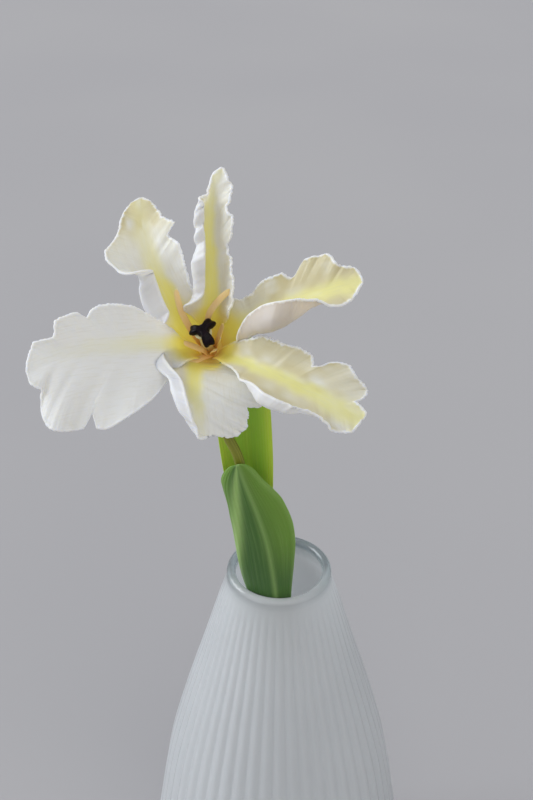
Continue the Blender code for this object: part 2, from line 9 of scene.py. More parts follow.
import bpy
import numpy as np
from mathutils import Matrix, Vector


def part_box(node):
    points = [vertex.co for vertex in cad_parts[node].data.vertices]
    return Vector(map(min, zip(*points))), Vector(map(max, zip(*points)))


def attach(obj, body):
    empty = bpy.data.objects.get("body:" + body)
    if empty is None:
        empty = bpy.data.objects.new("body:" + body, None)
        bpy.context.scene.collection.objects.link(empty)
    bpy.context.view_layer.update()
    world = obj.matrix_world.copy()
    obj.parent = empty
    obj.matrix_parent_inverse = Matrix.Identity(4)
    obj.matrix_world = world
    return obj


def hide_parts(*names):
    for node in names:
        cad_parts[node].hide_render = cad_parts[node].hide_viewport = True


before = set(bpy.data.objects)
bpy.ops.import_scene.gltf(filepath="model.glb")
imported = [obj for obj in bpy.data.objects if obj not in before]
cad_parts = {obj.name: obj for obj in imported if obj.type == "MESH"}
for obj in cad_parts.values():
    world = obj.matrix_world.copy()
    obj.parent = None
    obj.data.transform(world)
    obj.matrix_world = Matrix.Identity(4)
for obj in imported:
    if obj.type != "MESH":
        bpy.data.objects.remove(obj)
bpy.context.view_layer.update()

MM = 0.001
print("solids:", ", ".join(sorted(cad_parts)))

# %% [markdown]
# ## The camera first
#
# The photograph looks down on the bloom. A pinhole camera is fixed by four things: its
# lens, its pitch, where one known point lands in the picture, and how wide one known
# thing looks. Here the known thing is the vase's mouth: its real width against its width
# in pixels gives the distance, and its middle gives the place. Working it out this way
# beats trying numbers, because every later piece can then be compared with the picture.

# %% Place the camera
PICTURE = (533, 800)           # pixels
LENS = 50.0                    # mm, on a sensor whose long side is 36 mm
SENSOR = 36.0
PITCH = np.radians(32.3)       # below the horizon
MOUTH_PIXEL = (279.0, 570.0)   # middle of the vase's mouth in the picture
MOUTH_HALF_PIXELS = 52.2

VASE_HEIGHT = 225.0
LIP_CENTRE_RADIUS = 19.2       # middle of the rounded rim
LIP_ROUND = 1.8                # radius of the rim's round section

focal = LENS / SENSOR * PICTURE[1]
mouth_distance = (LIP_CENTRE_RADIUS + LIP_ROUND) * focal / MOUTH_HALF_PIXELS
forward = np.array([0.0, np.cos(PITCH), -np.sin(PITCH)])
upward = np.array([0.0, np.sin(PITCH), np.cos(PITCH)])
sideways = (MOUTH_PIXEL[0] - PICTURE[0] / 2) / focal
downwards = (MOUTH_PIXEL[1] - PICTURE[1] / 2) / focal
mouth = np.array([0.0, 0.0, VASE_HEIGHT - LIP_ROUND])
eye = mouth - mouth_distance * (forward + sideways * np.array([1.0, 0, 0]) - downwards * upward)

camera = bpy.data.objects.new("camera", bpy.data.cameras.new("camera"))
camera.data.lens = LENS
camera.data.sensor_width = SENSOR
camera.data.clip_start = 0.01
camera.data.clip_end = 50.0
camera.location = eye * MM
camera.rotation_euler = (np.pi / 2 - PITCH, 0, 0)
bpy.context.scene.collection.objects.link(camera)
bpy.context.scene.camera = camera
print("camera at", eye.round(1), "mm, mouth", round(mouth_distance, 1), "mm away")

# %% [markdown]
# ## Curves through a few points
#
# Petals, leaves and the vase are all described by short lists of points. Three helpers
# turn such lists into smooth values: a monotone cubic that never overshoots its points,
# a rounded line through points in space, and a seeded wandering curve for everything
# that is irregular in a grown thing. Plain numpy is enough, and gives the same result
# on each run.

# %% Smooth values from a few points
def unit(vectors):
    """Vectors scaled to length one."""
    return vectors / np.linalg.norm(vectors, axis=-1, keepdims=True)


def clamp(values):
    """Values kept between 0 and 1."""
    return np.clip(values, 0, 1)


def soft(values):
    """Values kept between 0 and 1, with a soft start and end."""
    kept = clamp(values)
    return kept * kept * (3 - 2 * kept)


def smooth(knots, where):
    """Value at where of a curve through the knots that never overshoots them."""
    x, y = np.array(knots, float).T
    step = np.diff(x)
    slope = np.diff(y) / step
    tangent = np.zeros_like(y)
    same = slope[:-1] * slope[1:] > 0
    before = slope[:-1][same]
    after = slope[1:][same]
    tangent[1:-1][same] = 2 * before * after / (before + after)
    tangent[0] = slope[0]
    tangent[-1] = slope[-1]
    where = np.clip(where, x[0], x[-1])
    k = np.clip(np.searchsorted(x, where, side="right") - 1, 0, len(step) - 1)
    s = (where - x[k]) / step[k]
    return ((1 + 2 * s) * (1 - s) ** 2 * y[k] + s * (1 - s) ** 2 * step[k] * tangent[k]
            + s * s * (3 - 2 * s) * y[k + 1] + s * s * (s - 1) * step[k] * tangent[k + 1])


def steady(value):
    """Knots of a value that stays the same."""
    return [(0, value), (1, value)]


# %% A rounded line through points in space
STEPS_BETWEEN = 30             # points worked out between two given ones


def through(points, count):
    """Evenly spaced points of a rounded line through the given points (Catmull-Rom)."""
    p = np.array(points, float)
    p = np.vstack([2 * p[0] - p[1], p, 2 * p[-1] - p[-2]])
    dense = []
    for k in range(1, len(p) - 2):
        s = np.linspace(0, 1, STEPS_BETWEEN, endpoint=False)[:, None]
        a, b, c, d = p[k - 1], p[k], p[k + 1], p[k + 2]
        dense.append(0.5 * (2 * b + (c - a) * s + (2 * a - 5 * b + 4 * c - d) * s ** 2
                            + (3 * b - a - 3 * c + d) * s ** 3))
    dense = np.vstack(dense + [p[-2][None]])
    run = np.concatenate([[0], np.cumsum(np.linalg.norm(np.diff(dense, axis=0), axis=1))])
    even = np.linspace(0, run[-1], count)
    return np.stack([np.interp(even, run, dense[:, k]) for k in range(3)], -1), run[-1]


# %% A seeded wandering curve
def wander(where, scale, seed):
    """Irregular smooth curve between about -1 and 1, with swings about scale long."""
    phase = np.random.default_rng(seed).uniform(0, 2 * np.pi, 4)
    turn = 2 * np.pi * np.asarray(where, float) / scale
    total = (np.sin(turn + phase[0]) + 0.7 * np.sin(1.618 * turn + phase[1])
             + 0.5 * np.sin(2.414 * turn + phase[2]) + 0.3 * np.sin(3.7 * turn + phase[3]))
    return total / 2


print("wander at 0, 1, 2 mm:", wander([0, 1, 2], 5.0, 1).round(2))

# %% [markdown]
# ## The bloom's own directions
#
# The bloom leans forward and to the left, so its petals are easiest to describe around
# its own axis. Azimuth 0 points to the picture's right, and angles run against the clock
# as the camera sees them.

# %% The bloom's frame
FLOWER_BASE = np.array([-24.5, -14.0, 333.0])
FLOWER_AXIS = (-0.09, -0.56, 0.82)


def flower_frame():
    """Right, up and outward directions of the bloom."""
    axis = unit(np.array(FLOWER_AXIS))
    right = unit(np.cross(axis, (0.0, 0.0, 1.0)))
    right = right * np.sign(right[0])
    return right, unit(np.cross(axis, right)), axis


print("bloom's axis:", flower_frame()[2].round(3))

# %% [markdown]
# ## A petal is a flat outline, bent
#
# A petal grows flat and then curls. So each one is described flat first: a midrib of
# some length, and for its left and right side a list of points (how far along, how far
# out) that gives the lobes. Then the midrib is bent with a few angles, and each side is
# lifted (wing) and curled in (roll). What differs from side to side is a pair, left and
# right. A sculpted mesh could look the same, but could not be changed by one number.

# %% Midribs
SPINE_POINTS = 241


def radial_spine(base, azimuth, length, root, rise, swing):
    """Midrib that leaves the flower's axis at an azimuth, with knots for its angles."""
    right, up, axis = flower_frame()
    phi = np.radians(azimuth)
    outward = np.cos(phi) * right + np.sin(phi) * up
    sideways = np.cos(phi) * up - np.sin(phi) * right
    s = np.linspace(0, length, SPINE_POINTS)
    climb = np.radians(smooth(rise, s / length))[:, None]
    turn = np.radians(smooth(swing, s / length))[:, None]
    heading = np.cos(turn) * outward + np.sin(turn) * sideways
    tangent = np.cos(climb) * heading + np.sin(climb) * axis
    across = np.cos(turn) * sideways - np.sin(turn) * outward
    steps = (tangent[1:] + tangent[:-1]) / 2 * (s[1] - s[0])
    points = base + root * outward + np.vstack([np.zeros(3), np.cumsum(steps, axis=0)])
    return dict(s=s, length=length, points=points, tangent=tangent, across=across,
                inward=np.cross(tangent, across))


def path_spine(path, inside):
    """Midrib through given points, with the inner face turned towards inside."""
    points, length = through(path, SPINE_POINTS)
    tangent = unit(np.gradient(points, axis=0))
    inward = unit(np.array(inside) - (tangent @ np.array(inside))[:, None] * tangent)
    return dict(s=np.linspace(0, length, SPINE_POINTS), length=length, points=points,
                tangent=tangent, across=np.cross(inward, tangent), inward=inward)


# %% Outlines and the lines that run to them
VEIN_SLANT = 1.3               # how steeply the grid lines run towards the tip
SLANT_FROM = (0.2, 0.6)        # share of the outline where they begin to lean, and over which
EVEN_SHARE = 0.35              # how evenly the lines start along the midrib
LEAST_STEP = 0.02              # part of the midrib that is shared out evenly in any case
OUTLINE_SAMPLES = 400


def outline_curve(outline, share):
    """Point of an outline at a share of its length, and that length."""
    o = np.array(outline, float)
    run = np.concatenate([[0], np.cumsum(np.hypot(*np.diff(o, axis=0).T))])
    total = run[-1]
    run = run / total
    along = smooth(list(zip(run, o[:, 0])), share)
    width = smooth(list(zip(run, o[:, 1])), share)
    return along, width, total


def station_curve(outline, length):
    """Where on the midrib the line to each outline point starts."""
    share = np.linspace(0, 1, OUTLINE_SAMPLES)
    along, width, _ = outline_curve(outline, share)
    lean = VEIN_SLANT * clamp((share - SLANT_FROM[0]) / SLANT_FROM[1])
    start = EVEN_SHARE * length * share + (1 - EVEN_SHARE) * (along - lean * width)
    start = np.maximum.accumulate(start - start[0]) + LEAST_STEP * length * share
    return share, start * length / start[-1]


# %% Bending a flat blade
BEND_STEPS = 20
ROLL_FROM = steady(0.5)        # where a side's roll begins and is finished, as shares
ROLL_TO = steady(1)            # of its width, at shares of the midrib
NO_ROLL = (steady(0), steady(0))
NO_WAVES = ((1, 0), (1, 0))    # how many on each side, and how high in mm
WAVE_PHASES = (0, 90)          # where each side's waves begin, degrees
WING_EASE = 2.5                # mm beside the midrib in which a side turns up


def bend(spine, blade, side, along, across, share):
    """Flat blade points, along the midrib and out to one side, to their place in space."""
    on_rib = np.clip(along, 0, spine["length"])
    at = on_rib / spine["length"]

    def pick(field):
        """A field of the midrib at each point's place on it."""
        return np.stack([np.interp(on_rib, spine["s"], spine[field][:, k])
                         for k in range(3)], -1)

    origin = pick("points") + pick("tangent") * (along - on_rib)[..., None]
    wing = np.radians(smooth(blade["wing"][side], at))
    roll = np.radians(smooth(blade.get("roll", NO_ROLL)[side], at))
    roll_from = smooth(blade.get("roll_from", ROLL_FROM), at)
    roll_to = smooth(blade.get("roll_to", ROLL_TO), at)
    out = np.zeros_like(across)
    lift = np.zeros_like(across)
    for k in range(BEND_STEPS):
        part = (k + 0.5) / BEND_STEPS
        ease = 1 - np.exp(-across * part / WING_EASE)
        angle = wing * ease + roll * soft((share * part - roll_from) / (roll_to - roll_from))
        out = out + np.cos(angle) * across / BEND_STEPS
        lift = lift + np.sin(angle) * across / BEND_STEPS
    rim_angle = wing + roll * clamp((share - roll_from) / (roll_to - roll_from))
    wave = edge_wave(blade, side, share)
    lift = lift + wave * np.cos(rim_angle)
    out = (out - wave * np.sin(rim_angle)) * (1 if side == 0 else -1)
    return origin + out[..., None] * unit(pick("across")) + lift[..., None] * unit(pick("inward"))


def edge_wave(blade, side, share):
    """The slow waves of a margin, mm, which fade out at the midrib, the root and the tip."""
    count, height = blade.get("waves", NO_WAVES)[side]
    at = blade["at"][:, None]
    fade = clamp(at / 0.25) * clamp((1.06 - at) / 0.2)
    ripple = height * fade * clamp((share - 0.2) / 0.8) ** 1.6
    return ripple * np.sin(2 * np.pi * count * at + np.radians(WAVE_PHASES[side]))


# %% [markdown]
# ## Frills, ruffles and folds
#
# What makes a parrot tulip is its edge. Three sizes of detail are added to the bent
# blade, each by a formula over the distance along the margin: tiny teeth that push the
# margin out and in, ruffles that lift it up and down, and long soft folds that run out
# from the midrib. Real geometry is used and not a bump, because the frills break the
# outline that everyone sees.

# %% Teeth, ruffles and folds
TOOTH = 1.45                   # spacing of the teeth along a margin, mm
RUFFLES = ((9.5, 0.55), (5.2, 0.22), (2.6, 0.08))     # length and height of the waves, mm
FOLD = 7.5                     # spacing of the long folds at the margin, mm
FULL_RUFFLE, FULL_FOLD = 7.0, 9.0     # mm, a blade's half width from which they have full height


def teeth(run, amount, seed):
    """How far the margin is pushed out, mm, along the distance run on it."""
    phase = np.pi * run / TOOTH + 1.6 * wander(run, 9.0, seed)
    lobes = np.abs(np.sin(phase)) ** 0.7 - 0.6
    strength = np.clip(0.62 + 0.5 * wander(run, 13.0, seed + 1), 0.12, 1.1)
    return amount * (0.62 * strength * lobes + 0.22 * wander(run, 5.2, seed + 2))


def ruffle(run, share, reach, amount, seed):
    """How far a point is lifted by the margin's ruffles, mm."""
    wave = sum(height * wander(run, size, seed + k)
               for k, (size, height) in enumerate(RUFFLES))
    return amount * wave[:, None] * share ** 2.6 * clamp(reach / FULL_RUFFLE)[:, None]


def folds(run, share, reach, amount, spacing, seed):
    """Long soft folds that run from the midrib to the margin, mm."""
    wave = np.sin(2 * np.pi * run / spacing + 1.8 * wander(run, 4 * spacing, seed))
    wave = wave * (0.6 + 0.4 * wander(run, 3 * spacing, seed + 1))
    middle = np.sin(np.pi * share ** 0.8 * 0.62) ** 1.3
    return amount * wave[:, None] * middle * clamp(reach / FULL_FOLD)[:, None]


# %% [markdown]
# ## From a flat blade to a fine surface
#
# Each side gets rows of points from the midrib out to the margin, closer together near
# the margin, where the white rim is. The blade's half thickness swells there to a bead
# and then closes in a round edge, so the front and the back meet without a seam.

# %% Columns and thickness
RIM_WIDTH = 1.15               # mm, how far the thick white rim reaches in
CROWDING = 1.7                 # how much closer the points lie near the margin


def half_thickness(edge, body, rim):
    """Half the blade's thickness at a distance from its edge, all in mm."""
    swell = soft(1 - np.abs(edge - 0.45 * RIM_WIDTH) / (0.75 * RIM_WIDTH))
    return (body + (rim - body) * swell) * np.sqrt(clamp(1 - (1 - clamp(edge / rim)) ** 2))


# %% The blade's surface
ROOT_CALM = (4.0, 8.0)         # mm from the root where ruffles begin, and over which they grow
FULL_TEETH = (4.0, 6.0)        # half width and mm from the root from which teeth are full
CALM_ROWS = 17                 # rows over which crowded teeth are evened out
NONE = (0, 0)                  # a detail that neither side has


def surface_normal(grid):
    """Unit normals of a grid of points."""
    return unit(np.cross(np.gradient(grid, axis=1), np.gradient(grid, axis=0)))


def blade_surface(spine, blade, rows, columns):
    """Middle surface of a blade and what is known at each of its points."""
    length = spine["length"]
    curves = [station_curve(outline, length) for outline in blade["outline"]]
    even = np.linspace(0, 1, rows + 1)
    stations = sum(np.interp(even, *curve) for curve in curves) / 2
    shares = 1 - (1 - np.linspace(0, 1, columns + 1)[None, :]) ** CROWDING
    blade["at"] = stations / length
    halves = []
    for side, outline in enumerate(blade["outline"]):
        at = np.interp(stations, curves[side][1], curves[side][0])
        edge_along, edge_width, total = outline_curve(outline, at)
        run = at * total
        even_run = total * stations / length
        reach = np.hypot(edge_along - stations, edge_width)
        seed = blade.get("seed", 1) * 20 + side * 10
        crowding = np.gradient(run) / np.maximum(np.gradient(stations), 1e-6)
        calm = np.clip(2.2 / crowding, 0.15, 1)
        calm = np.convolve(np.pad(calm, CALM_ROWS // 2, mode="edge"),
                           np.full(CALM_ROWS, 1 / CALM_ROWS), "valid")
        push = teeth(run, blade.get("tooth", NONE)[side], seed) * (0.4 + 0.6 * calm)
        push = push * clamp(reach / FULL_TEETH[0]) * clamp(stations / FULL_TEETH[1])
        stretch = shares + (push / np.maximum(reach, 0.5))[:, None] * shares ** 9
        along = stations[:, None] + (edge_along - stations)[:, None] * stretch
        across = edge_width[:, None] * stretch
        share = np.broadcast_to(shares, across.shape)
        detail = ruffle(even_run, shares, reach, blade.get("ruffle", NONE)[side], seed + 3)
        detail = detail + folds(even_run, shares, reach, blade.get("folds", NONE)[side],
                                blade.get("fold_spacing", FOLD), seed + 6)
        detail = detail * clamp((stations - ROOT_CALM[0]) / ROOT_CALM[1])[:, None]
        halves.append(dict(middle=bend(spine, blade, side, along, across, share), detail=detail,
                           along=along, across=across * (1 if side == 0 else -1), share=share,
                           edge=reach[:, None] * (1 - shares)))
    left, right = halves
    whole = {key: np.concatenate([left[key][:, ::-1], right[key][:, 1:]], axis=1) for key in left}
    middle = whole["middle"]
    whole["middle"] = middle + surface_normal(middle) * whole.pop("detail")[..., None]
    ends = np.minimum(stations, length - stations)[:, None]
    whole["edge"] = np.minimum(whole["edge"], 1.2 * ends)
    return whole


# %% A closed sheet with a round edge
def add_piece(name, points, faces, finish):
    """Smooth-shaded object from points in millimetres."""
    mesh = bpy.data.meshes.new(name)
    mesh.from_pydata((np.asarray(points) * MM).tolist(), [], faces)
    mesh.shade_smooth()
    mesh.materials.append(finish)
    piece = bpy.data.objects.new(name, mesh)
    bpy.context.scene.collection.objects.link(piece)
    return piece


def store(piece, field, values):
    """One number at each point of a piece, for its material to read."""
    layer = piece.data.attributes.new(field, "FLOAT", "POINT")
    layer.data.foreach_set("value", np.asarray(values, np.float32))


def closed_sheet(name, surface, half, fields, finish):
    """Piece whose front and back share the points of their common edge."""
    middle = surface["middle"]
    rows, columns = middle.shape[:2]
    inside = np.zeros((rows, columns), bool)
    inside[1:-1, 1:-1] = True
    offset = surface_normal(middle) * (half * inside)[..., None]
    front = np.arange(rows * columns).reshape(rows, columns)
    back = front.copy()
    back[inside] = rows * columns + np.arange(inside.sum())
    points = np.vstack([(middle + offset).reshape(-1, 3), (middle - offset)[inside]])
    faces = []
    for index, turn in ((front, 1), (back, -1)):
        corners = np.stack([index[:-1, :-1], index[:-1, 1:], index[1:, 1:], index[1:, :-1]], -1)
        faces += corners.reshape(-1, 4)[:, ::turn].tolist()
    piece = add_piece(name, points, faces, finish)
    for field, values in fields.items():
        values = np.broadcast_to(values, half.shape)
        store(piece, field, np.concatenate([values.reshape(-1), values[inside]]))
    store(piece, "face", np.arange(len(points)) < rows * columns)
    return piece


def seat(piece, node):
    """Make a piece stand for its solid by hiding the solid, and let it ride on the body."""
    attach(piece, "root")
    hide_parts(node)
    points = np.array([v.co for v in piece.data.vertices])
    low, high = np.array(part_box(node))
    over = max((low - points.min(0)).max(), (points.max(0) - high).max()) / MM
    print(piece.name, len(piece.data.polygons), "faces, past its solid by", round(over, 2), "mm")


# %% [markdown]
# ## A small kit for materials
#
# Every finish here is a graph of nodes. To keep the graphs readable, each kind of node
# gets a helper that makes it, sets its numbers and returns the socket to carry on from.

# %% Node helpers
class Finish:
    """A material that is built one node at a time."""

    def __init__(self, name):
        self.material = bpy.data.materials.new(name)
        self.material.use_nodes = True
        self.tree = self.material.node_tree
        self.shader = self.tree.nodes["Principled BSDF"]

    def node(self, kind, **inputs):
        """New node; inputs are set by name, or linked when the value is a socket."""
        made = self.tree.nodes.new(kind)
        for name, value in inputs.items():
            self.join(value, made.inputs[name.replace("_", " ")])
        return made

    def join(self, value, socket):
        """Link a socket, or set a plain value."""
        if isinstance(value, bpy.types.NodeSocket):
            self.tree.links.new(value, socket)
        else:
            socket.default_value = value

    def field(self, name):
        """A number stored at the piece's points."""
        made = self.tree.nodes.new("ShaderNodeAttribute")
        made.attribute_name = name
        return made.outputs["Fac"]

    def maths(self, kind, *values):
        """A sum or a product."""
        made = self.tree.nodes.new("ShaderNodeMath")
        made.operation = kind
        for value, socket in zip(values, made.inputs):
            self.join(value, socket)
        return made.outputs[0]

    def vector(self, x, y):
        """Two numbers as one place for a texture."""
        return self.node("ShaderNodeCombineXYZ", X=x, Y=y).outputs[0]

    def noise(self, place, scale, detail=3.0, roughness=0.5):
        """Soft noise between 0 and 1."""
        return self.node("ShaderNodeTexNoise", Vector=place, Scale=scale, Detail=detail,
                         Roughness=roughness).outputs["Fac"]

    def drawn_noise(self, across, dense, along, sparse, *settings):
        """Noise drawn out along a piece: two fields, and how dense it is in each."""
        place = (self.maths("MULTIPLY", self.field(across), dense),
                 self.maths("MULTIPLY", self.field(along), sparse))
        return self.noise(self.vector(*place), *settings)

    def place(self):
        """Where a point of the piece lies, in metres."""
        return self.node("ShaderNodeTexCoord").outputs["Object"]

    def cloud(self, scale, first, second):
        """Mottled blend of two colours."""
        noise = self.noise(self.place(), scale, 2)
        return self.mix(self.spread(noise, 0.3, 0.7), first, second)

    def shaders(self, amount, first, second):
        """Blend of two shaders."""
        made = self.tree.nodes.new("ShaderNodeMixShader")
        for value, socket in zip((amount, first, second), made.inputs):
            self.join(value, socket)
        return made.outputs[0]

    def mix(self, amount, first, second):
        """Blend of two colours."""
        made = self.tree.nodes.new("ShaderNodeMix")
        made.data_type = "RGBA"
        self.join(amount, made.inputs["Factor"])
        for value, socket in ((first, made.inputs[6]), (second, made.inputs[7])):
            self.join(value if isinstance(value, bpy.types.NodeSocket) else (*value, 1.0), socket)
        return made.outputs[2]

    def spread(self, value, low, high, to_low=0.0, to_high=1.0):
        """A number moved from one range to another, softly and without overshoot."""
        made = self.node("ShaderNodeMapRange", Value=value, From_Min=low, From_Max=high,
                         To_Min=to_low, To_Max=to_high)
        made.interpolation_type = "SMOOTHSTEP"
        return made.outputs["Result"]

    def bump(self, height, strength, distance_mm):
        """Normals bent by a height."""
        return self.node("ShaderNodeBump", Height=height, Strength=strength,
                         Distance=distance_mm * MM).outputs["Normal"]

    def set(self, **inputs):
        """Values of the shader itself."""
        for name, value in inputs.items():
            self.join(value, self.shader.inputs[name.replace("_", " ")])
        return self.material


# %% [markdown]
# ## The petal's finish
#
# A petal's inner face is cream with a yellow stripe in its channel and an orange root,
# its outer face is nearly white, and the frilled rim is white all round. The inner face
# also leans to a deeper warm tone, partly its own colour and partly painted shade, and
# one petal's outer face is darkened with painted shade. Where those colours lie follows
# from the petal's own coordinates, stored at its points: how far along, how far out and
# how close to the edge. Noise drawn out along the petal gives the fine veins. Light
# shines through a petal, which subsurface scattering gives.

# %% Petal colours
CREAM = (0.87, 0.855, 0.80)
# deeper warm tone of the inner face: partly its own colour, partly painted shade
WARM_TONE_AND_PAINTED_SHADE = (0.60, 0.535, 0.35)
STRIPE = (0.87, 0.80, 0.29)
DEEP_STRIPE = (0.95, 0.74, 0.17)
ROOT_GOLD = (0.96, 0.73, 0.15)
ROOT_ORANGE = (0.97, 0.60, 0.14)
RIM_WHITE = (0.90, 0.90, 0.88)
OUTER_WHITE = (0.86, 0.87, 0.89)
# painted shade on the outer face
OUTER_PAINTED_SHADE = (0.57, 0.52, 0.49)


def petal_finish():
    """Silky petal, cream inside and white outside."""
    f = Finish("petal_silk")
    veins = f.drawn_noise("across", 1, "along", 0.1, 1.6, 4, 0.6)
    # the inner face leans to a deeper warm tone, partly its own colour and partly painted shade
    inner = f.mix(f.field("warmth_and_painted_shade"), CREAM, WARM_TONE_AND_PAINTED_SHADE)
    inner = f.mix(f.spread(veins, 0.45, 0.75, 0.0, 0.2), inner, WARM_TONE_AND_PAINTED_SHADE)
    stripe = f.maths("MULTIPLY", f.field("stripe"), f.spread(veins, 0.2, 0.6, 0.75, 1.0))
    inner = f.mix(stripe, inner, STRIPE)
    inner = f.mix(f.maths("MULTIPLY", stripe, f.field("depth")), inner, DEEP_STRIPE)
    root = f.field("root")
    inner = f.mix(f.spread(root, 0.05, 0.55), inner, ROOT_GOLD)
    inner = f.mix(f.spread(root, 0.55, 1.0), inner, ROOT_ORANGE)
    # painted shade darkens the outer face where a petal turns away from the light
    outer = f.mix(f.field("outer_painted_shade"), OUTER_WHITE, OUTER_PAINTED_SHADE)
    outer = f.mix(f.maths("MULTIPLY", root, 0.6), outer, STRIPE)
    colour = f.mix(f.field("face"), outer, inner)
    colour = f.mix(f.field("rim"), colour, RIM_WHITE)
    fine = f.drawn_noise("across", 1, "along", 0.05, 3.2, 3, 0.6)
    broad = f.drawn_noise("across", 1, "along", 0.3, 0.5, 2)
    height = f.maths("ADD", fine, f.maths("MULTIPLY", broad, 1.5))
    return f.set(Base_Color=colour, Roughness=0.45, Normal=f.bump(height, 0.16, 0.12),
                 Subsurface_Weight=0.85, Subsurface_Radius=(1.0, 0.88, 0.66),
                 Subsurface_Scale=3.0 * MM, Sheen_Weight=0.1, Sheen_Roughness=0.4,
                 Specular_IOR_Level=0.35)


petal_silk = petal_finish()
print("petal finish:", len(petal_silk.node_tree.nodes), "nodes")

# %% [markdown]
# ## The six petals
#
# Three inner petals stand up, to the left and to the lower right; three outer ones fill
# the gaps between them. Each description below is given in millimetres and degrees. rise
# and swing steer the midrib, outline gives the lobes, wing and roll bend the sides, and
# roll_from and roll_to say where in its width a side rolls over. waves, tooth, ruffle and
# folds are the frill. stripe is its middle, half width, strength and depth of colour,
# root_width the width of the golden root, and the entries for warmth and outer shade say
# how far the inner and the outer face lean to a deeper tone: on the inner face partly its
# own warm colour and partly painted shade, on the outer face painted shade.

# %% Describe the petals
INNER_ROOT = 3.7               # distance of a petal's root from the flower's axis
OUTER_ROOT = 5.0

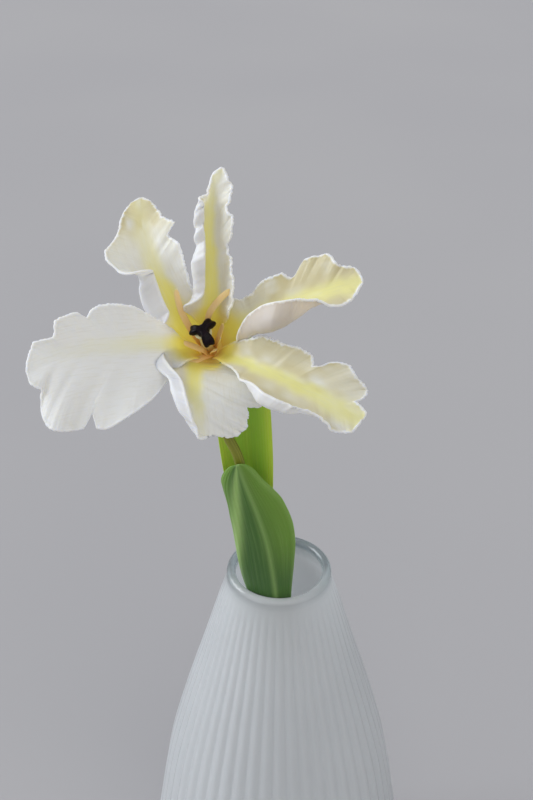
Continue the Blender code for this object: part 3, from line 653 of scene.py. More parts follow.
PETALS = {
    "petal_1": dict(
        azimuth=78, length=60, root=INNER_ROOT, roll_from=steady(0.3),
        rise=[(0, 68), (0.15, 58), (0.35, 40), (0.7, 30), (1, 20)], swing=[(0, -5), (0.5, 20), (1, -5)],
        outline=([(0, 2.2), (7, 5), (12, 9), (17, 13), (22, 14.5), (28, 14), (33, 12.5), (36.5, 10),
            (40, 12), (42.5, 10.8), (44.5, 11.8), (47, 10.6), (49, 7.5), (50.5, 4.4), (53, 2.9),
            (57, 2.5), (60, 0.7)],
            [(0, 2.2), (9, 4.5), (18, 11.5), (24, 12), (28, 10.5), (33.5, 6.5), (38, 10.5), (43, 11.5),
            (47, 7.5), (52, 7), (57, 3.5), (60, 0.7)]),
        wing=([(0, 40), (0.3, 35), (0.7, 35), (1, 20)], [(0, 45), (0.3, 60), (0.7, 55), (1, 20)]),
        roll=([(0, 0), (0.22, 8), (0.33, 140), (0.38, 155), (0.77, 160), (0.83, 90), (0.88, 10), (1, 0)],
            steady(0)), waves=((4, 1.2), (3, 0.6)), tooth=(0.55, 1.1), ruffle=(0.8, 1), folds=(0.1, 0.25),
        stripe=(1, [(0, 4), (0.4, 2.8), (1, 1.5)], [(0, 1), (0.5, 0.95), (0.75, 0.7), (0.9, 0.3),
            (1, 0.3)], 0.8), root_width=9, warmth_and_painted_shade=[(0, 0.25), (1, 0.38)]),
    "petal_2": dict(
        azimuth=131, length=60, root=OUTER_ROOT, roll_from=steady(0.42), roll_to=steady(0.75),
        rise=[(0, 58), (0.2, 48), (0.45, 35), (0.62, 5), (0.8, -10), (1, -15)],
        swing=[(0, 20), (0.5, -10), (1, -30)],
        outline=([(0, 3.2), (3, 4.8), (7, 5.8), (10, 6), (12.5, 7.6), (14.5, 11.5), (16.5, 16), (20, 18),
            (25, 18), (28.5, 17), (30.5, 14.5), (32.5, 14), (36, 15), (39, 14.5), (42, 11.5), (45, 9),
            (48, 7.8), (53, 6.2), (58, 4), (60, 0.8)],
            [(0, 2.4), (7, 3.8), (15, 7), (25, 10), (33, 11), (38, 8), (41, 11.5), (46, 8), (52, 6),
            (57, 4), (60, 0.8)]),
        wing=([(0, 20), (0.15, 5), (0.35, 10), (0.5, 30), (0.62, 15), (1, 0)],
            [(0, 20), (0.2, 35), (0.4, 40), (1, 0)]),
        roll=([(0, 0), (0.2, 10), (0.285, 150), (0.48, 168), (0.515, 30), (0.54, 0), (1, 0)], steady(0)),
        waves=((3, 0.8), (3, 0.6)), tooth=(0.5, 1.1), ruffle=(0.5, 0.5), folds=(0.1, 0.12),
        stripe=(0.5, [(0, 4.5), (0.25, 3.2), (1, 3)], [(0, 1), (0.35, 0.95), (0.5, 0.5), (0.7, 0.2),
            (1, 0.15)], 0.9), root_width=11,
        warmth_and_painted_shade=[(0, 0.15), (0.35, 0.15), (0.6, 0.38), (0.85, 0.95), (1, 1)]),
    "petal_3": dict(
        azimuth=208, length=61, root=INNER_ROOT,
        rise=[(0, 65), (0.15, 44), (0.35, 20), (0.7, 12), (1, 0)], swing=[(0, 5), (0.5, -10), (1, 5)],
        outline=([(0, 2.6), (4, 4), (8, 5), (12, 7), (16, 10.5), (23, 18), (31, 23), (39, 25.5),
            (42.3, 24.5), (43, 19.5), (45, 23.8), (54, 23.3), (60, 21.5), (62, 18), (61.8, 13.5),
            (60, 9.5), (58.8, 7.5), (60, 5.8), (61.3, 3.5), (61, 0.8)],
            [(0, 2.2), (7, 3.5), (14, 8), (21, 13), (27, 16), (33, 16.5), (37.5, 15.3), (39.5, 12.8),
            (42, 14.8), (48, 13.5), (50, 8.5), (55, 9), (58, 6), (60, 3), (61, 0.8)]),
        wing=([(0, 40), (0.15, 20), (0.3, 0), (1, -10)], [(0, 50), (0.2, 60), (0.4, 45), (1, 20)]),
        waves=((3.5, 1), (3, 0.8)), tooth=(0.45, 0.6), ruffle=(0.2, 0.4), fold_spacing=14,
        folds=(0.3, 0.1),
        stripe=(-2.6, [(0, 2.4), (0.4, 3.2), (1, 2)], [(0, 0.9), (0.2, 0.6), (0.45, 0.35), (0.7, 0.15),
            (1, 0)], 0), warmth_and_painted_shade=[(0, 0.02), (1, 0.05)]),
    "petal_4": dict(
        azimuth=275, length=41, root=OUTER_ROOT,
        roll_from=[(0, 0.74), (0.25, 0.71), (0.5, 0.62), (0.75, 0.56), (1, 0.52)],
        roll_to=[(0, 0.9), (0.25, 0.86), (0.5, 0.79), (0.75, 0.76), (1, 0.74)],
        rise=[(0, 60), (0.25, 50), (0.5, 32), (0.72, 0), (1, -45)], swing=[(0, -10), (0.5, 10), (1, 15)],
        outline=([(0, 2.8), (5, 8), (10, 12), (16, 14), (23, 16.5), (30, 20), (35, 18), (34, 14),
            (37, 14), (42, 12), (44, 7), (42, 3), (41, 0.8)],
            [(0, 3), (3, 7.5), (6, 14.5), (9, 19.5), (12, 20.5), (16, 18.8), (20, 16.6), (25, 14.4),
            (30, 13.6), (34, 12.9), (37, 11.2), (39.2, 8.4), (40.4, 5.6), (41, 2.8), (41, 0.8)]),
        wing=([(0, 10), (0.3, -10), (1, -20)], [(0, 20), (0.15, 8), (0.4, 10), (0.55, 20), (1, 20)]),
        roll=(steady(0), [(0, 0), (0.08, 50), (0.18, 140), (0.5, 160), (0.8, 150), (1, 110)]),
        waves=((3, 0.8), (3, 0.8)), tooth=(0.9, 0.15), ruffle=(0.9, 0.3), folds=(0.45, 0.1),
        stripe=(-2, [(0, 2.4), (0.5, 2.6), (1, 2)], [(0, 0.9), (0.5, 0.8), (0.8, 0.4), (1, 0.1)], 1),
        warmth_and_painted_shade=[(0, 0.6), (0.5, 0.4), (0.8, 0.12), (1, 0.05)]),
    "petal_5": dict(
        azimuth=330, length=65, root=INNER_ROOT, roll_from=steady(0.45),
        rise=[(0, 62), (0.2, 36), (0.5, 14), (1, -3)], swing=[(0, -5), (0.5, 5), (1, 0)],
        outline=([(0, 2.2), (6, 3.2), (13, 5.5), (19, 7.5), (26, 10.5), (31, 9.8), (36, 10.5), (40.5, 10),
            (43.5, 7.3), (48, 11), (52, 12.5), (57, 10.5), (61, 9), (61.5, 6.5), (60, 4), (63, 3.6),
            (65, 2.8), (65.3, 0.8)],
            [(0, 2.2), (8, 3), (16, 4.6), (22, 7), (27, 10.5), (33, 16), (40, 19.5), (46, 18.5),
            (51, 14.5), (56, 10.5), (60, 8), (62, 7), (65, 4.5), (65.3, 0.8)]),
        wing=([(0, 45), (0.12, 65), (0.3, 60), (0.45, 35), (1, 10)],
            [(0, 40), (0.15, 40), (0.4, 20), (0.7, 10), (1, 0)]),
        roll=(steady(0), [(0, 0), (0.35, 0), (0.5, 110), (0.73, 135), (0.87, 80), (0.96, 0), (1, 0)]),
        waves=((3.5, 1), (3, 0.8)), tooth=(1, 0.6), ruffle=(0.6, 0.4), folds=(0.15, 0.12),
        stripe=(-0.8, [(0, 2), (0.5, 2.4), (1, 4)], [(0, 1), (0.6, 0.8), (1, 0.62)], 0.1),
        warmth_and_painted_shade=[(0, 0.5), (0.5, 0.85), (1, 0.5)]),
    "petal_6": dict(
        azimuth=13, length=60, root=OUTER_ROOT, roll_from=steady(0.42), roll_to=steady(0.85),
        rise=[(0, 58), (0.2, 50), (0.5, 32), (1, 15)], swing=[(0, 10), (0.5, 0), (1, -5)],
        outline=([(0, 2.6), (4, 5), (8, 8.5), (12, 10.8), (15, 10.5), (18, 8.3), (22, 8), (28, 10),
            (34, 10), (37, 7.5), (43, 12), (50, 11.5), (53, 7), (58, 5), (60, 0.8)],
            [(0, 2.4), (8, 4), (16, 10), (22, 15), (28, 19.5), (33, 23.5), (37, 25), (41, 21), (44, 14.5),
            (47, 10), (50, 8.6), (53, 7.4), (57, 5), (60, 0.8)]),
        wing=([(0, 20), (0.2, 35), (0.5, 25), (1, 10)],
            [(0, 10), (0.2, 15), (0.42, 35), (0.7, 20), (1, 0)]),
        roll=(steady(0), [(0, 0), (0.15, 40), (0.3, 110), (0.42, 130), (0.68, 140), (0.77, 90),
            (0.84, 20), (0.9, 0), (1, 0)]), waves=((3, 0.8), (3, 0.5)), tooth=(0.7, 0.4),
        ruffle=(0.8, 0.3), folds=(0.15, 0.12),
        stripe=(-0.8, [(0, 7), (0.25, 5), (0.5, 2.8), (1, 3.6)], [(0, 1), (0.4, 0.8), (0.75, 0.75),
            (1, 0.6)], 0.3), root_width=11, outer_painted_shade=1,
        warmth_and_painted_shade=[(0, 0.2), (0.3, 0.4), (0.6, 1), (1, 1)]),
}

# %% Build the petals
PETAL_GRID = (340, 30)         # rows, and columns on each side of the midrib
PETAL_BODY = 0.27              # half the thickness, mm
PETAL_RIM = 0.42
ROOT_LENGTH = 19.0             # mm, how far the golden root reaches
ROOT_WIDTH = 6.0               # to each side of the midrib
RIM_START = (11, 12)           # mm along where the white rim begins, and over which it whitens
SIDE_SHIFT = 7.0               # mm by which the left side's random curves are shifted


def petal_fields(surface, petal):
    """Where a petal is striped, orange, white or darkened by painted shade, as numbers between 0 and 1.
    """
    along, across, seed = surface["along"], surface["across"], petal["seed"]
    middle, widths, strengths, depth = petal["stripe"]
    share = clamp(along / petal["length"])
    off = np.abs(across - middle - 0.5 * wander(along, 14.0, seed)) / smooth(widths, share)
    side = (across > 0) * SIDE_SHIFT
    width = RIM_WIDTH * (0.8 + 0.35 * wander(along + side, 4.0, seed + 50))
    rim = soft(1.25 - surface["edge"] / np.maximum(width, 0.3))
    root = np.exp(-(across / petal.get("root_width", ROOT_WIDTH)) ** 4)
    patches = 0.6 * wander(along + 2 * side, 23.0, seed + 60) * wander(across, 11.0, seed)
    # the deeper warm tone is partly the petal's own colour and partly painted shade
    return dict(across=across, along=along,
                stripe=smooth(strengths, share) * np.exp(-off ** 3),
                depth=depth * (1 - 0.8 * share),
                rim=rim * clamp((along - RIM_START[0]) / RIM_START[1]),
                root=clamp(1 - along / ROOT_LENGTH) * root,
                warmth_and_painted_shade=clamp(smooth(petal["warmth_and_painted_shade"], share) * (1 + patches)),
                outer_painted_shade=petal.get("outer_painted_shade", 0))


def make_petal(name, petal):
    """One frilled petal."""
    spine = radial_spine(FLOWER_BASE, petal["azimuth"], petal["length"], petal["root"],
                         petal["rise"], petal["swing"])
    surface = blade_surface(spine, petal, *PETAL_GRID)
    half = half_thickness(surface["edge"], PETAL_BODY, PETAL_RIM)
    piece = closed_sheet(name + "_frilled", surface, half, petal_fields(surface, petal), petal_silk)
    seat(piece, name)


for seed, (name, petal) in enumerate(PETALS.items(), 1):
    petal["seed"] = seed
    make_petal(name, petal)

# %% [markdown]
# ## The leaves
#
# Both leaves clasp the stem at their feet and stand up out of the vase's mouth. They are
# blades like the petals, but with a smooth margin and veins that run along the leaf from
# foot to tip, slightly raised. Their green changes across the blade, partly as their own
# colour and partly as painted light: yellowish margins are painted light shining through
# them, a pale band where the front leaf turns towards the window is a painted highlight,
# it is bluish in the fold, and towards the foot, by the vase's mouth, it is painted darker
# with shade. The back leaf has paler greens, painted as if lit through from behind.

# %% The leaf's finish
LEAF_DEEP = (0.055, 0.140, 0.032)
LEAF_MID = (0.185, 0.340, 0.045)
LEAF_PALE = (0.36, 0.54, 0.18)
# the back leaf's greens: brighter, painted as if lit through from behind
LEAF_GRASS = (0.25, 0.47, 0.045)
LEAF_BRIGHT = (0.37, 0.58, 0.055)
LEAF_YELLOW = (0.53, 0.64, 0.070)


def leaf_finish(name, dark, middle, light):
    """Satin leaf with lengthwise veins."""
    f = Finish(name)
    streaks = f.drawn_noise("share", 9, "along", 0.012, 2.2, 4, 0.6)
    # darker or lighter green, partly the leaf's own colour and partly painted shade
    colour = f.mix(f.field("tone_and_painted_shade"), dark, middle)
    colour = f.mix(f.spread(streaks, 0.45, 0.8, 0.0, 0.18), colour, light)
    # pale midrib, and pale bands that are painted highlights and painted light through the margins
    colour = f.mix(f.field("rib_and_painted_highlight"), colour, light)
    height = f.maths("ADD", f.maths("MULTIPLY", streaks, 1.2), f.field("vein"))
    return f.set(Base_Color=colour, Roughness=0.38, Normal=f.bump(height, 0.4, 0.25),
                 Subsurface_Weight=0.4, Subsurface_Radius=(0.5, 1.0, 0.3),
                 Subsurface_Scale=1.5 * MM, Specular_IOR_Level=0.3)


LEAF_FINISHES = {
    "leaf_front": leaf_finish("leaf_satin", LEAF_DEEP, LEAF_MID, LEAF_PALE),
    # the back leaf is a brighter copy, painted as if lit through from behind
    "leaf_back": leaf_finish("leaf_satin_painted_backlight", LEAF_GRASS, LEAF_BRIGHT, LEAF_YELLOW),
}
print("leaf finishes:", ", ".join(LEAF_FINISHES))

# %% Describe the leaves
# light lists pale bands along a leaf, painted highlights and painted light through its
# margins: their middle across it, their width and how pale they are. The tone entry says
# how light the green is across the leaf, partly its own colour and partly painted shade;
# the entry after it says how light it is along the leaf, its low values being painted
# shade near the vase's mouth.
LEAVES = {
    "leaf_front": dict(
        path=[(-0.6, -14.2, 190), (-1.1, -15.3, 207), (-1.4, -16.3, 224), (-4.3, -17.2, 248),
            (-8.2, -16.6, 264), (-13.2, -14.6, 278), (-15.6, -13.1, 284.9)], inside=(0, 1, 0),
        outline=([(0, 3), (12, 4.6), (34, 6.4), (50, 9), (60, 10.9), (68, 11.6), (77, 10.8), (83, 8.8),
            (88, 6.7), (93, 5.1), (95.6, 3.4), (96.8, 1.6), (97, 0.8)],
            [(0, 3), (12, 6.3), (34, 17), (44, 18), (60, 17.5), (74, 16), (84, 13.9), (90, 11.8),
            (94.3, 8), (96.5, 4), (97, 1.8), (97, 0.8)]),
        light=[([(0, -0.98), (0.35, -0.95), (0.7, -0.65), (1, -0.3)], 0.16, 0.85), ([(0, 1), (0.7, 1),
            (1, 0.8)], 0.12, 0.3)],
        tone_and_painted_shade=[(-1, 0.9), (-0.75, 0.5), (-0.5, 0), (-0.15, 0.15), (0.1, 0.5), (0.5, 0.8), (1, 0.95)],
        painted_shade_along=[(0, 0.05), (0.4, 0.12), (0.65, 0.85), (1, 1)],
        wing=([(0, 42), (0.15, 32), (0.35, 20), (0.55, 12), (1, 20)],
            [(0, 45), (0.15, 34), (0.35, 27), (0.55, 18), (1, 20)]),
        roll=([(0, 20), (0.15, 10), (1, 10)], [(0, 40), (0.2, 60), (0.35, 80), (0.8, 90), (1, 40)])),
    "leaf_back": dict(
        path=[(-7, -8.6, 232), (-9.3, -3.2, 250), (-11.6, 1.2, 270), (-12.8, 4, 292), (-13.2, 4.2, 314),
            (-13.2, 1, 332)], inside=(0, -1, 0), light=[(steady(1), 0.45, 0.9), (steady(-1), 0.3, 0.75)],
        rib_light=0.15, tone_and_painted_shade=[(-1, 0.8), (-0.3, 0.4), (0.1, 0.6), (1, 1)],
        painted_shade_along=[(0, 0.5), (0.5, 1), (1, 1)],
        outline=([(0, 3), (12, 4.4), (30, 8.8), (50, 11.2), (66, 11), (84, 8), (98, 4), (102, 1)],
            [(0, 3), (12, 5), (30, 10), (50, 11.5), (66, 11), (84, 8), (98, 4), (102, 1)]),
        wing=([(0, 40), (0.2, 38), (0.45, 35), (0.65, 15), (1, 15)],
            [(0, 40), (0.2, 38), (0.5, 35), (1, 25)]),
        roll=([(0, 30), (0.2, 20), (1, 0)], [(0, 30), (0.2, 20), (1, 0)])),
}

# %% Build the leaves
LEAF_GRID = (220, 40)
LEAF_BODY = 0.36               # half the thickness, mm
LEAF_RIM = 0.30
VEIN_COUNT = 9                 # raised veins on each side
VEIN_HEIGHT = 0.07
MIDRIB_HEIGHT = 0.2
MIDRIB_WIDTH = 0.9
RIB_LIGHT = 0.45               # how pale the midrib is


def make_leaf(name, leaf):
    """One leaf with raised veins."""
    spine = path_spine(leaf["path"], leaf["inside"])
    surface = blade_surface(spine, leaf, *LEAF_GRID)
    ridge = np.abs(np.cos(np.pi * VEIN_COUNT * surface["share"])) ** 3
    midrib = np.exp(-(surface["across"] / MIDRIB_WIDTH) ** 2)
    share = np.sign(surface["across"]) * surface["share"]
    run = clamp(surface["along"] / spine["length"])
    # pale midrib, its own colour, and pale bands: painted highlights and painted light through the
    # margins
    rib_and_painted_highlight = leaf.get("rib_light", RIB_LIGHT) * midrib
    for middle, width, strength in leaf["light"]:
        off = (share - smooth(middle, run)) / width
        rib_and_painted_highlight = np.maximum(rib_and_painted_highlight, strength * np.exp(-off ** 2))
    # lightness across: own colour and painted shade; along: painted shade by the vase's mouth
    tone_and_painted_shade = smooth(leaf["tone_and_painted_shade"], share) * smooth(leaf["painted_shade_along"], run)
    fields = dict(along=surface["along"], share=share, vein=ridge, rib_and_painted_highlight=rib_and_painted_highlight, tone_and_painted_shade=tone_and_painted_shade)
    half = half_thickness(surface["edge"], LEAF_BODY, LEAF_RIM)
    half = half + VEIN_HEIGHT * ridge * clamp(surface["edge"] / 2) + MIDRIB_HEIGHT * midrib
    half = half * clamp(surface["edge"] / LEAF_RIM) ** 0.5
    seat(closed_sheet(name + "_veined", surface, half, fields, LEAF_FINISHES[name]),
         name)


for name, leaf in LEAVES.items():
    make_leaf(name, leaf)

# %% [markdown]
# ## Tubes: the stem, the pistil and the filaments
#
# Three kinds of piece are tubes with a changing section. One function lays rings of
# points along a line, with a width and a thickness for each ring, so it makes a round
# stem as well as a flat filament. A curve object with a bevel would be shorter for the
# stem, but its rings could not be flattened or given lobes. One kind of finish serves
# all three: a grain along the tube, and colours that change along it.

# %% Tube mesh
def ring_faces(rings, sides):
    """Faces of a closed skin of rings; its last two points are the middles of the ends."""
    index = np.arange(rings * sides).reshape(rings, sides)
    after = np.roll(index, -1, axis=1)
    faces = np.stack([index[:-1], after[:-1], after[1:], index[1:]], -1).reshape(-1, 4).tolist()
    for end, one, other in ((index.size, after[0], index[0]), (index.size + 1, index[-1], after[-1])):
        faces += [(end, a, b) for a, b in zip(one.tolist(), other.tolist())]
    return faces


def add_tube(name, finish, path, width, thickness, facing, sides, lobes=0.0):
    """Closed tube that knows how far along and round it each point lies."""
    tangent = unit(np.gradient(path, axis=0))
    first = unit(facing - (tangent @ facing)[:, None] * tangent)
    second = np.cross(tangent, first)
    turn = np.linspace(0, 2 * np.pi, sides, endpoint=False)
    shape = 1 + lobes * np.cos(3 * turn)
    rings = (path[:, None] + thickness[:, None, None] * (shape * np.cos(turn))[None, :, None]
             * first[:, None] + width[:, None, None] * (shape * np.sin(turn))[None, :, None]
             * second[:, None])
    points = np.vstack([rings.reshape(-1, 3), path[:1], path[-1:]])
    piece = add_piece(name, points, ring_faces(len(path), sides), finish)
    run = np.linspace(0, 1, len(path)).repeat(sides)
    store(piece, "run", np.append(run, [0, 1]))
    store(piece, "turn", np.append(np.tile(np.arange(sides) / sides, len(path)), [0, 0]))
    return piece


def tube_finish(name, grain, base, layers, roughness, relief, glow, glow_radius):
    """Satin skin with a grain along it; each layer is field, from, to, strength, colour."""
    f = Finish(name)
    dense, sparse, *settings = grain
    values = dict(run=f.field("run"), grain=f.drawn_noise("turn", dense, "run", sparse, *settings))
    for field, low, high, strength, colour in layers:
        base = f.mix(f.spread(values[field], low, high, 0, strength), base, colour)
    return f.set(Base_Color=base, Roughness=roughness, Normal=f.bump(values["grain"], *relief),
                 Subsurface_Weight=glow, Subsurface_Radius=glow_radius, Subsurface_Scale=1.0 * MM)


# %% [markdown]
# ## The stem
#
# The stem leans across the vase from its floor to its mouth, then bends forward under
# the bloom, where it swells into the receptacle. It is olive brown with a fine
# lengthwise grain, and greener just under the petals.

# %% Make the stem
STEM_RADIUS = 1.9
STEM_PATH = [
    (24.0, -4.0, 8.55), (15.0, -8.0, 85.0), (5.0, -11.0, 155.0), (-5.5, -11.5, 224.0),
    (-9.5, -11.0, 250.0), (-14.7, -9.5, 282.5), (-19.0, -7.0, 293.0), (-22.0, -5.2, 306.0),
]
NECK = (17, 11, 6)             # the stem's last points, this far below the bloom
STEM_RINGS, STEM_SIDES = 150, 40
RECEPTACLE_TOP = -0.55
RECEPTACLE = [                 # height, radius
    (-4.2, 2.5), (-3.0, 3.8), (-1.9, 5.2), (-1.2, 6.0), (RECEPTACLE_TOP, 5.7),
]
RECEPTACLE_RINGS = 16
FLARE_RINGS = 4                # rings in which the stem widens to it
CAP_RADIUS, CAP_HEIGHT = 4.8, 0.12

stem_skin = tube_finish(
    "stem_skin", (22, 14, 1.0, 5, 0.65), (0.15, 0.155, 0.008),
    [("grain", 0.35, 0.7, 1, (0.29, 0.31, 0.02)), ("run", 0.9, 0.97, 1, (0.20, 0.27, 0.06)),
     ("run", 0.985, 0.995, 1, ROOT_GOLD)], 0.48, (0.5, 0.2), 0.1, (0.8, 1.0, 0.3))


def make_stem():
    """Stem with its swollen end."""
    axis = flower_frame()[2]
    path, _ = through(STEM_PATH + [FLOWER_BASE - axis * below for below in NECK], STEM_RINGS)
    heights = np.linspace(RECEPTACLE[0][0], RECEPTACLE_TOP, RECEPTACLE_RINGS)
    stem = STEM_RADIUS * (1 + 0.025 * wander(np.arange(STEM_RINGS), 17.0, 71))
    stem[-FLARE_RINGS:] = np.linspace(STEM_RADIUS, RECEPTACLE[0][1], FLARE_RINGS + 2)[1:-1]
    radii = np.concatenate([stem, smooth(RECEPTACLE, heights), [CAP_RADIUS]])
    heights = np.append(heights, RECEPTACLE_TOP + CAP_HEIGHT)
    path = np.vstack([path, FLOWER_BASE + axis * heights[:, None]])
    facing = np.array([0.3, 1.0, 0.1])
    piece = add_tube("stem_grained", stem_skin, path, radii, radii, facing, STEM_SIDES)
    seat(piece, "stem")


make_stem()

# %% [markdown]
# ## The bloom's heart
#
# In the middle stands a pale three-sided pistil. It carries the stigma, three blunt
# black lobes that shine like lacquer. Six flat filaments fan out round it. The lobes are
# made by pushing the rings of a flattened ball out in three directions, and a notch in
# each lobe's end gives the two tips that the lowest one shows.

# %% Pistil
PISTIL = [                     # height, radius
    (-0.25, 1.45), (1.5, 1.6), (5.0, 1.9), (9.0, 1.9), (11.5, 2.0), (12.8, 2.7), (13.7, 2.9),
]
PISTIL_RINGS, PISTIL_SIDES = 40, 48
PISTIL_LOBES = 0.06            # share of the radius by which its three sides stand out

right, up, axis = flower_frame()
pistil_satin = tube_finish(
    "pistil_satin", (12, 3, 1.5), (0.80, 0.50, 0.10),
    [("run", 0, 0.6, 1, (0.74, 0.70, 0.42)), ("grain", 0.4, 0.8, 0.4, (0.55, 0.55, 0.22))],
    0.4, (0.3, 0.1), 0.2, (1.0, 0.8, 0.4))
heights = np.linspace(PISTIL[0][0], PISTIL[-1][0], PISTIL_RINGS)
radii = smooth(PISTIL, heights)
seat(add_tube("pistil_column", pistil_satin, FLOWER_BASE + heights[:, None] * axis, radii, radii,
              up, PISTIL_SIDES, PISTIL_LOBES), "pistil")

# %% Stigma
STIGMA_HEIGHT = 14.6
STIGMA_LOBES = [(63, 5.6), (178, 5.0), (304, 5.9)]     # azimuth, reach
STIGMA_HUB = 2.2
STIGMA_HALF_HEIGHT = 1.6
STIGMA_DROOP = 0.05            # how much the lobes hang, per square of the distance
STIGMA_DIMPLE = 0.25           # depth of the hollow on top
DIMPLE_RADIUS = 1.3
NOTCH_CUT, NOTCH_GROOVE = 0.12, 0.35   # share of the reach, and mm down from the top
STIGMA_UNEVEN = 0.08           # mm by which its skin rises and falls
LOBE_WIDTH = 31                # degrees to either side of a lobe's middle
STIGMA_SIDES = 144
STIGMA_RINGS = 39


def headings(turn):
    """Directions away from the flower's axis."""
    return np.cos(turn)[:, None] * right + np.sin(turn)[:, None] * up


def lobe_reach(phi):
    """How far the stigma reaches from its middle, and how notched it is there."""
    reach = np.full_like(phi, STIGMA_HUB)
    notch = np.zeros_like(phi)
    for azimuth, length in STIGMA_LOBES:
        off = np.abs((phi - azimuth + 180) % 360 - 180) / LOBE_WIDTH
        reach = np.maximum(reach, STIGMA_HUB + (length - STIGMA_HUB) * np.exp(-off ** 4))
        notch = np.maximum(notch, np.exp(-(off / 0.35) ** 2))
    return reach, notch


def stigma_finish():
    """Lacquer-black with a grainy surface."""
    f = Finish("stigma_lacquer")
    grain = f.noise(f.place(), 1400, 3, 0.6)
    colour = f.mix(f.spread(grain, 0.35, 0.75), (0.003, 0.0015, 0.003), (0.012, 0.004, 0.008))
    return f.set(Base_Color=colour, Roughness=0.35, Normal=f.bump(grain, 0.4, 0.2),
                 Specular_IOR_Level=0.08, Coat_Weight=0.1, Coat_Roughness=0.05)


def make_stigma():
    """Cap of three drooping lobes."""
    centre = FLOWER_BASE + axis * STIGMA_HEIGHT
    phi = 360.0 * np.arange(STIGMA_SIDES) / STIGMA_SIDES
    reach, notch = lobe_reach(phi)
    heading = headings(np.radians(phi))
    points = []
    for i in range(1, STIGMA_RINGS + 1):
        tilt = np.pi * (i / (STIGMA_RINGS + 1) - 0.5)
        spread = np.cos(tilt) ** 0.5
        r = reach * spread * (1 - NOTCH_CUT * notch * spread ** 4)
        groove = NOTCH_GROOVE * notch * spread ** 2 * max(np.sin(tilt), 0)
        groove = groove + STIGMA_DIMPLE * np.exp(-(r / DIMPLE_RADIUS) ** 2)
        h = STIGMA_HALF_HEIGHT * np.sin(tilt) - STIGMA_DROOP * r * r - groove * (tilt > 0)
        h = h + STIGMA_UNEVEN * wander(phi, 31.0, 5) * spread
        points.extend(centre + r[:, None] * heading + h[:, None] * axis)
    points.append(centre - STIGMA_HALF_HEIGHT * axis)
    points.append(centre + (STIGMA_HALF_HEIGHT - STIGMA_DIMPLE) * axis)
    faces = ring_faces(STIGMA_RINGS, STIGMA_SIDES)
    seat(add_piece("stigma_lobes", points, faces, stigma_finish()), "stigma")


make_stigma()

# %% Filaments
STAMEN_RING_RADIUS = 2.45
STAMEN_RING_SECTION = 0.35
STAMEN_RING_GAP = 0.3          # between the ring and the receptacle
RING_GRID = (72, 16)
STAMEN_WIDTH = 2.3
STAMEN_THICKNESS = 0.7
STAMEN_SIDES = 24
STAMENS = [                    # azimuth, length, rise knots, swing knots
    (158, 25, [(0, 80), (0.35, 58), (1, 50)], [(0, 0), (0.4, -20), (1, -60)]),
    (92, 27, [(0, 84), (0.35, 70), (0.6, 50), (1, 30)], [(0, 0), (0.35, -10), (0.6, -50), (1, -65)]),
    (280, 13, [(0, 85), (0.3, 72), (0.5, 42), (1, 38)], [(0, -60), (0.25, -95), (1, -100)]),
    (318, 12.5, [(0, 75), (0.2, 25), (1, 10)], [(0, -80), (0.3, -100), (1, -98)]),
    (28, 14, [(0, 80), (0.4, 70), (1, 66)], [(0, 0), (1, 5)]),
    (310, 12, [(0, 82), (0.4, 70), (1, 55)], [(0, 0), (1, 5)]),
]

filament_satin = tube_finish(
    "filament_satin", (9, 5, 1.4, 3), (0.80, 0.44, 0.09),
    [("run", 0, 0.7, 1, (0.90, 0.64, 0.29)), ("grain", 0.45, 0.8, 0.5, (0.92, 0.74, 0.36))],
    0.42, (0.3, 0.12), 0.25, (1.0, 0.6, 0.3))


def make_filaments():
    """Six flat filaments and the low ring that they grow from."""
    centre = FLOWER_BASE + axis * (RECEPTACLE_TOP + STAMEN_RING_GAP + STAMEN_RING_SECTION)
    for number, (azimuth, length, rise, swing) in enumerate(STAMENS, 1):
        spine = radial_spine(centre, azimuth, length, STAMEN_RING_RADIUS, rise, swing)
        path = spine["points"][::4]
        share = np.linspace(0, 1, len(path))
        width = smooth([(0, 0.45), (0.2, 0.9), (0.7, 1.0), (0.95, 0.8), (1, 0.3)], share)
        thick = smooth([(0, 0.8), (0.3, 1), (0.9, 0.7), (1, 0.2)], share)
        piece = add_tube("filament_%d" % number, filament_satin, path, width * STAMEN_WIDTH / 2,
                         thick * STAMEN_THICKNESS / 2, spine["inward"].mean(axis=0), STAMEN_SIDES)
        seat(piece, "stamens")
    turn, section = (np.linspace(0, 2 * np.pi, count, endpoint=False) for count in RING_GRID)
    rings = (centre + (STAMEN_RING_RADIUS + STAMEN_RING_SECTION * np.cos(section))[None, :, None]
             * headings(turn)[:, None] + STAMEN_RING_SECTION * np.sin(section)[None, :, None] * axis)
    index = np.arange(rings.size // 3).reshape(RING_GRID)
    faces = np.stack([index, np.roll(index, -1, 0), np.roll(index, (-1, -1), (0, 1)),
                      np.roll(index, -1, 1)], -1).reshape(-1, 4)
    ring = add_piece("filament_ring", rings.reshape(-1, 3), faces.tolist(), filament_satin)
    seat(ring, "stamens")


make_filaments()

# %% [markdown]
# ## The vase
#
# The bottle is turned glass: milky all through, with soft ribs pressed into its outside,
# and a rounded rim that stays clear. A lathe (Blender's Screw modifier) would make the
# round form, but not the ribs, so the rings are worked out here: each ring's radius
# comes from the profile, less the groove between two ribs.

# %% The vase's finish
TRANSLUCENT = (0.34, 0.65)     # share of the light that the wall lets through, outside and inside
CLEAREST = 0.85                # how clear the rim is at its top


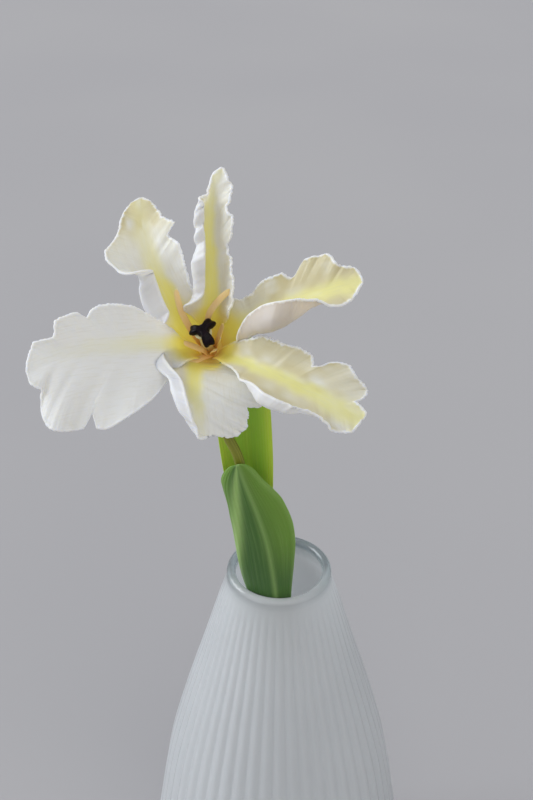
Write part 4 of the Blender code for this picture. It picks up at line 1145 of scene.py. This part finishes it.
def vase_finish():
    """Opal glass that turns transparent at the rim; painted whiter inside for light through it."""
    f = Finish("opal_glass")
    colour = f.cloud(18, (0.665, 0.69, 0.715), (0.705, 0.73, 0.755))
    streak = f.node("ShaderNodeMapping", Vector=f.place(), Scale=(1.0, 1.0, 0.15)).outputs[0]
    inside = f.field("inside")
    # the inside is painted whiter than the outside, for light that glows through the wall
    f.set(Base_Color=f.mix(inside, colour, (0.93, 0.94, 0.94)), Roughness=0.16,
          Subsurface_Weight=0.45, Subsurface_Radius=(0.9, 1.0, 1.0), Subsurface_Scale=4.0 * MM,
          Coat_Weight=0.5, Coat_Roughness=0.05, Normal=f.bump(f.noise(streak, 160.0, 3.0), 0.12, 0.1))
    # teal of the rim's glass, darkened as a painted reflection of darker surroundings
    teal_and_painted_reflection = f.cloud(18, (0.15, 0.215, 0.23), (0.20, 0.275, 0.29))
    clear_and_painted_reflection = f.node("ShaderNodeBsdfPrincipled", Base_Color=teal_and_painted_reflection, Roughness=0.03, IOR=1.5,
                   Transmission_Weight=1.0)
    glow = f.node("ShaderNodeBsdfTranslucent", Color=(0.95, 0.96, 0.97, 1.0))
    milky = f.shaders(f.spread(inside, 0, 1, *TRANSLUCENT), f.shader.outputs[0], glow.outputs[0])
    whole = f.shaders(f.maths("MULTIPLY", f.field("clear_and_painted_reflection"), CLEAREST), milky, clear_and_painted_reflection.outputs[0])
    f.join(whole, f.tree.nodes["Material Output"].inputs["Surface"])
    return f.material


# %% Turn the vase
FOOT_RADIUS = 44.0
FOOT_BEVEL = 1.5
WALL = 3.2
FLOOR_THICKNESS = 8.0
RIB_COUNT = 48
COLUMNS_PER_RIB = 8
RIB_ROUNDING = 0.04            # how soft the bottom of a groove is
PROFILE = [                    # depth below the rim, outer radius
    (4.5, 21.2), (8, 22.2), (15, 24.4), (40, 31.6), (70, 40.4), (100, 47.9), (130, 52.9),
    (160, 56.8), (178, 57.4), (200, 55.0), (216, 49.5), (VASE_HEIGHT, FOOT_RADIUS),
]
RIB_DEPTH = [(0, 0), (5, 0), (14, 0.32), (40, 0.55), (70, 0.7), (150, 1.0), (205, 0.8), (225, 0)]
HOLLOW_CORNER = (10.0, 4.0, 3.0)   # inset of the floor, inset and height of the curve above it
CLEAR_BAND = (1.8, 5.5)        # depths between which the clear rim turns milky
# painted round the rim: milky at the front, dark see-through glass at the back
LEAST_CLEAR = 0.15             # at the front of the rim; its back is fully clear
FOOT_RADII = (2.0, 20.0, 36.0) # flat rings of the foot, and the first two of the floor
SIDE_TOP, HOLLOW_TOP = 5.0, 4.0        # depths where the side ends and the hollow begins
LIP_ARC = (-20, 200)           # degrees
FOOT_RINGS, SIDE_RINGS, LIP_RINGS, HOLLOW_RINGS = 5, 96, 24, 40


def vase_rings():
    """Turned section as (radius, depth, groove), from the foot up and down the hollow."""
    rings = [(radius, VASE_HEIGHT, 0) for radius in (*FOOT_RADII, FOOT_RADIUS - FOOT_BEVEL - 0.6)]
    rings += [(FOOT_RADIUS - FOOT_BEVEL + 0.2, VASE_HEIGHT - 0.25, 0)]
    for depth in np.linspace(VASE_HEIGHT - 1.2, SIDE_TOP, SIDE_RINGS):
        rings.append((smooth(PROFILE, depth), depth, smooth(RIB_DEPTH, depth)))
    for a in np.radians(np.linspace(*LIP_ARC, LIP_RINGS)):
        rings.append((LIP_CENTRE_RADIUS + LIP_ROUND * np.cos(a), LIP_ROUND * (1 - np.sin(a)), 0))
    floor = VASE_HEIGHT - FLOOR_THICKNESS
    throat = LIP_CENTRE_RADIUS - LIP_ROUND
    inset, curve_inset, curve_height = HOLLOW_CORNER
    for depth in np.linspace(HOLLOW_TOP, floor - curve_height - 4.0, HOLLOW_RINGS):
        rings.append((max(smooth(PROFILE, depth) - WALL, throat), depth, 0))
    floor_radius = smooth(PROFILE, floor) - WALL
    rings.append((floor_radius - curve_inset, floor - curve_height, 0))
    rings.append((floor_radius - 0.6 * inset, floor - 0.35 * curve_height, 0))
    return rings + [(radius, floor, 0) for radius in (floor_radius - inset, *FOOT_RADII[1::-1])]


def make_vase():
    """Ribbed bottle with a rounded clear rim."""
    columns = RIB_COUNT * COLUMNS_PER_RIB
    turn = 2 * np.pi * np.arange(columns) / columns
    rib = np.sqrt((1 - RIB_ROUNDING) * np.cos(RIB_COUNT / 2 * turn) ** 2 + RIB_ROUNDING)
    rib = (1 - rib) / (1 - np.sqrt(RIB_ROUNDING))
    radius, depth, groove = (np.array(column, float)[:, None] for column in zip(*vase_rings()))
    r = radius - groove * rib
    height = np.broadcast_to(VASE_HEIGHT - depth, r.shape)
    points = np.stack([r * np.cos(turn), r * np.sin(turn), height], -1).reshape(-1, 3)
    points = np.vstack([points, [(0, 0, 0), (0, 0, FLOOR_THICKNESS)]])
    piece = add_piece("vase_ribbed", points, ring_faces(len(radius), columns), vase_finish())
    # see-through at the rim's top; round it painted: milky front, dark painted reflection at the back
    clear_and_painted_reflection = np.interp(depth, CLEAR_BAND, (1, 0)) * np.clip(0.95 + 0.9 * np.sin(turn), LEAST_CLEAR, 1)
    store(piece, "clear_and_painted_reflection", np.append(clear_and_painted_reflection, [0, 0]))
    inside = np.arange(len(points)) >= (FOOT_RINGS + SIDE_RINGS + LIP_RINGS) * columns
    inside[-2] = False         # the middle of the foot
    store(piece, "inside", inside)
    seat(piece, "vase")


make_vase()

# %% [markdown]
# ## Floor and light
#
# The picture has soft window light from the left and a plain grey ground. A wide plane
# is ground and backdrop in one, because the camera looks down on it. A wide sun lamp is
# the window: an area light would leave the ground brighter near it. A weaker lamp from
# the front opens the shadows, and the sky is an even grey.

# %% The ground
REACH = 6000.0                 # mm to each side

ground_grey = Finish("ground_grey")
ground_grey.set(Base_Color=ground_grey.cloud(1.5, (0.435, 0.43, 0.45), (0.455, 0.45, 0.465)),
                Roughness=0.8)
corners = [(-REACH, -REACH, 0), (REACH, -REACH, 0), (REACH, REACH, 0), (-REACH, REACH, 0)]
ground = add_piece("ground", corners, [(0, 1, 2, 3)], ground_grey.material)
print("ground:", 2 * REACH * MM, "m wide")

# %% The light
BLOOM = (-0.025, -0.02, 0.33)  # what the lights point at, metres
LIGHTS = [                     # name, place, angle across in degrees, strength, colour
    ("window", (-1.3, 0.25, 1.05), 40.0, 2.1, (0.93, 0.965, 1.0)),
    ("fill", (0.3, -1.2, 1.3), 60.0, 0.62, (1.0, 0.955, 0.89)),
]
SKY = (0.97, 0.98, 1.0)
SKY_STRENGTH = 0.485


def add_light(name, place, across, strength, colour):
    """Wide soft light that shines on the bloom from a place."""
    lamp = bpy.data.lights.new(name, "SUN")
    lamp.angle = np.radians(across)
    lamp.energy = strength
    lamp.color = colour
    light = bpy.data.objects.new(name, lamp)
    light.location = place
    away = np.array(place) - np.array(BLOOM)
    flat = np.hypot(away[0], away[1])
    light.rotation_euler = (np.arctan2(flat, away[2]), 0, np.arctan2(away[0], -away[1]))
    bpy.context.scene.collection.objects.link(light)


for light in LIGHTS:
    add_light(*light)
sky = bpy.data.worlds.new("sky")
sky.use_nodes = True
background = sky.node_tree.nodes["Background"]
background.inputs["Color"].default_value = (*SKY, 1.0)
background.inputs["Strength"].default_value = SKY_STRENGTH
bpy.context.scene.world = sky
bpy.context.scene.view_settings.view_transform = "Standard"
print("lights:", [light[0] for light in LIGHTS])
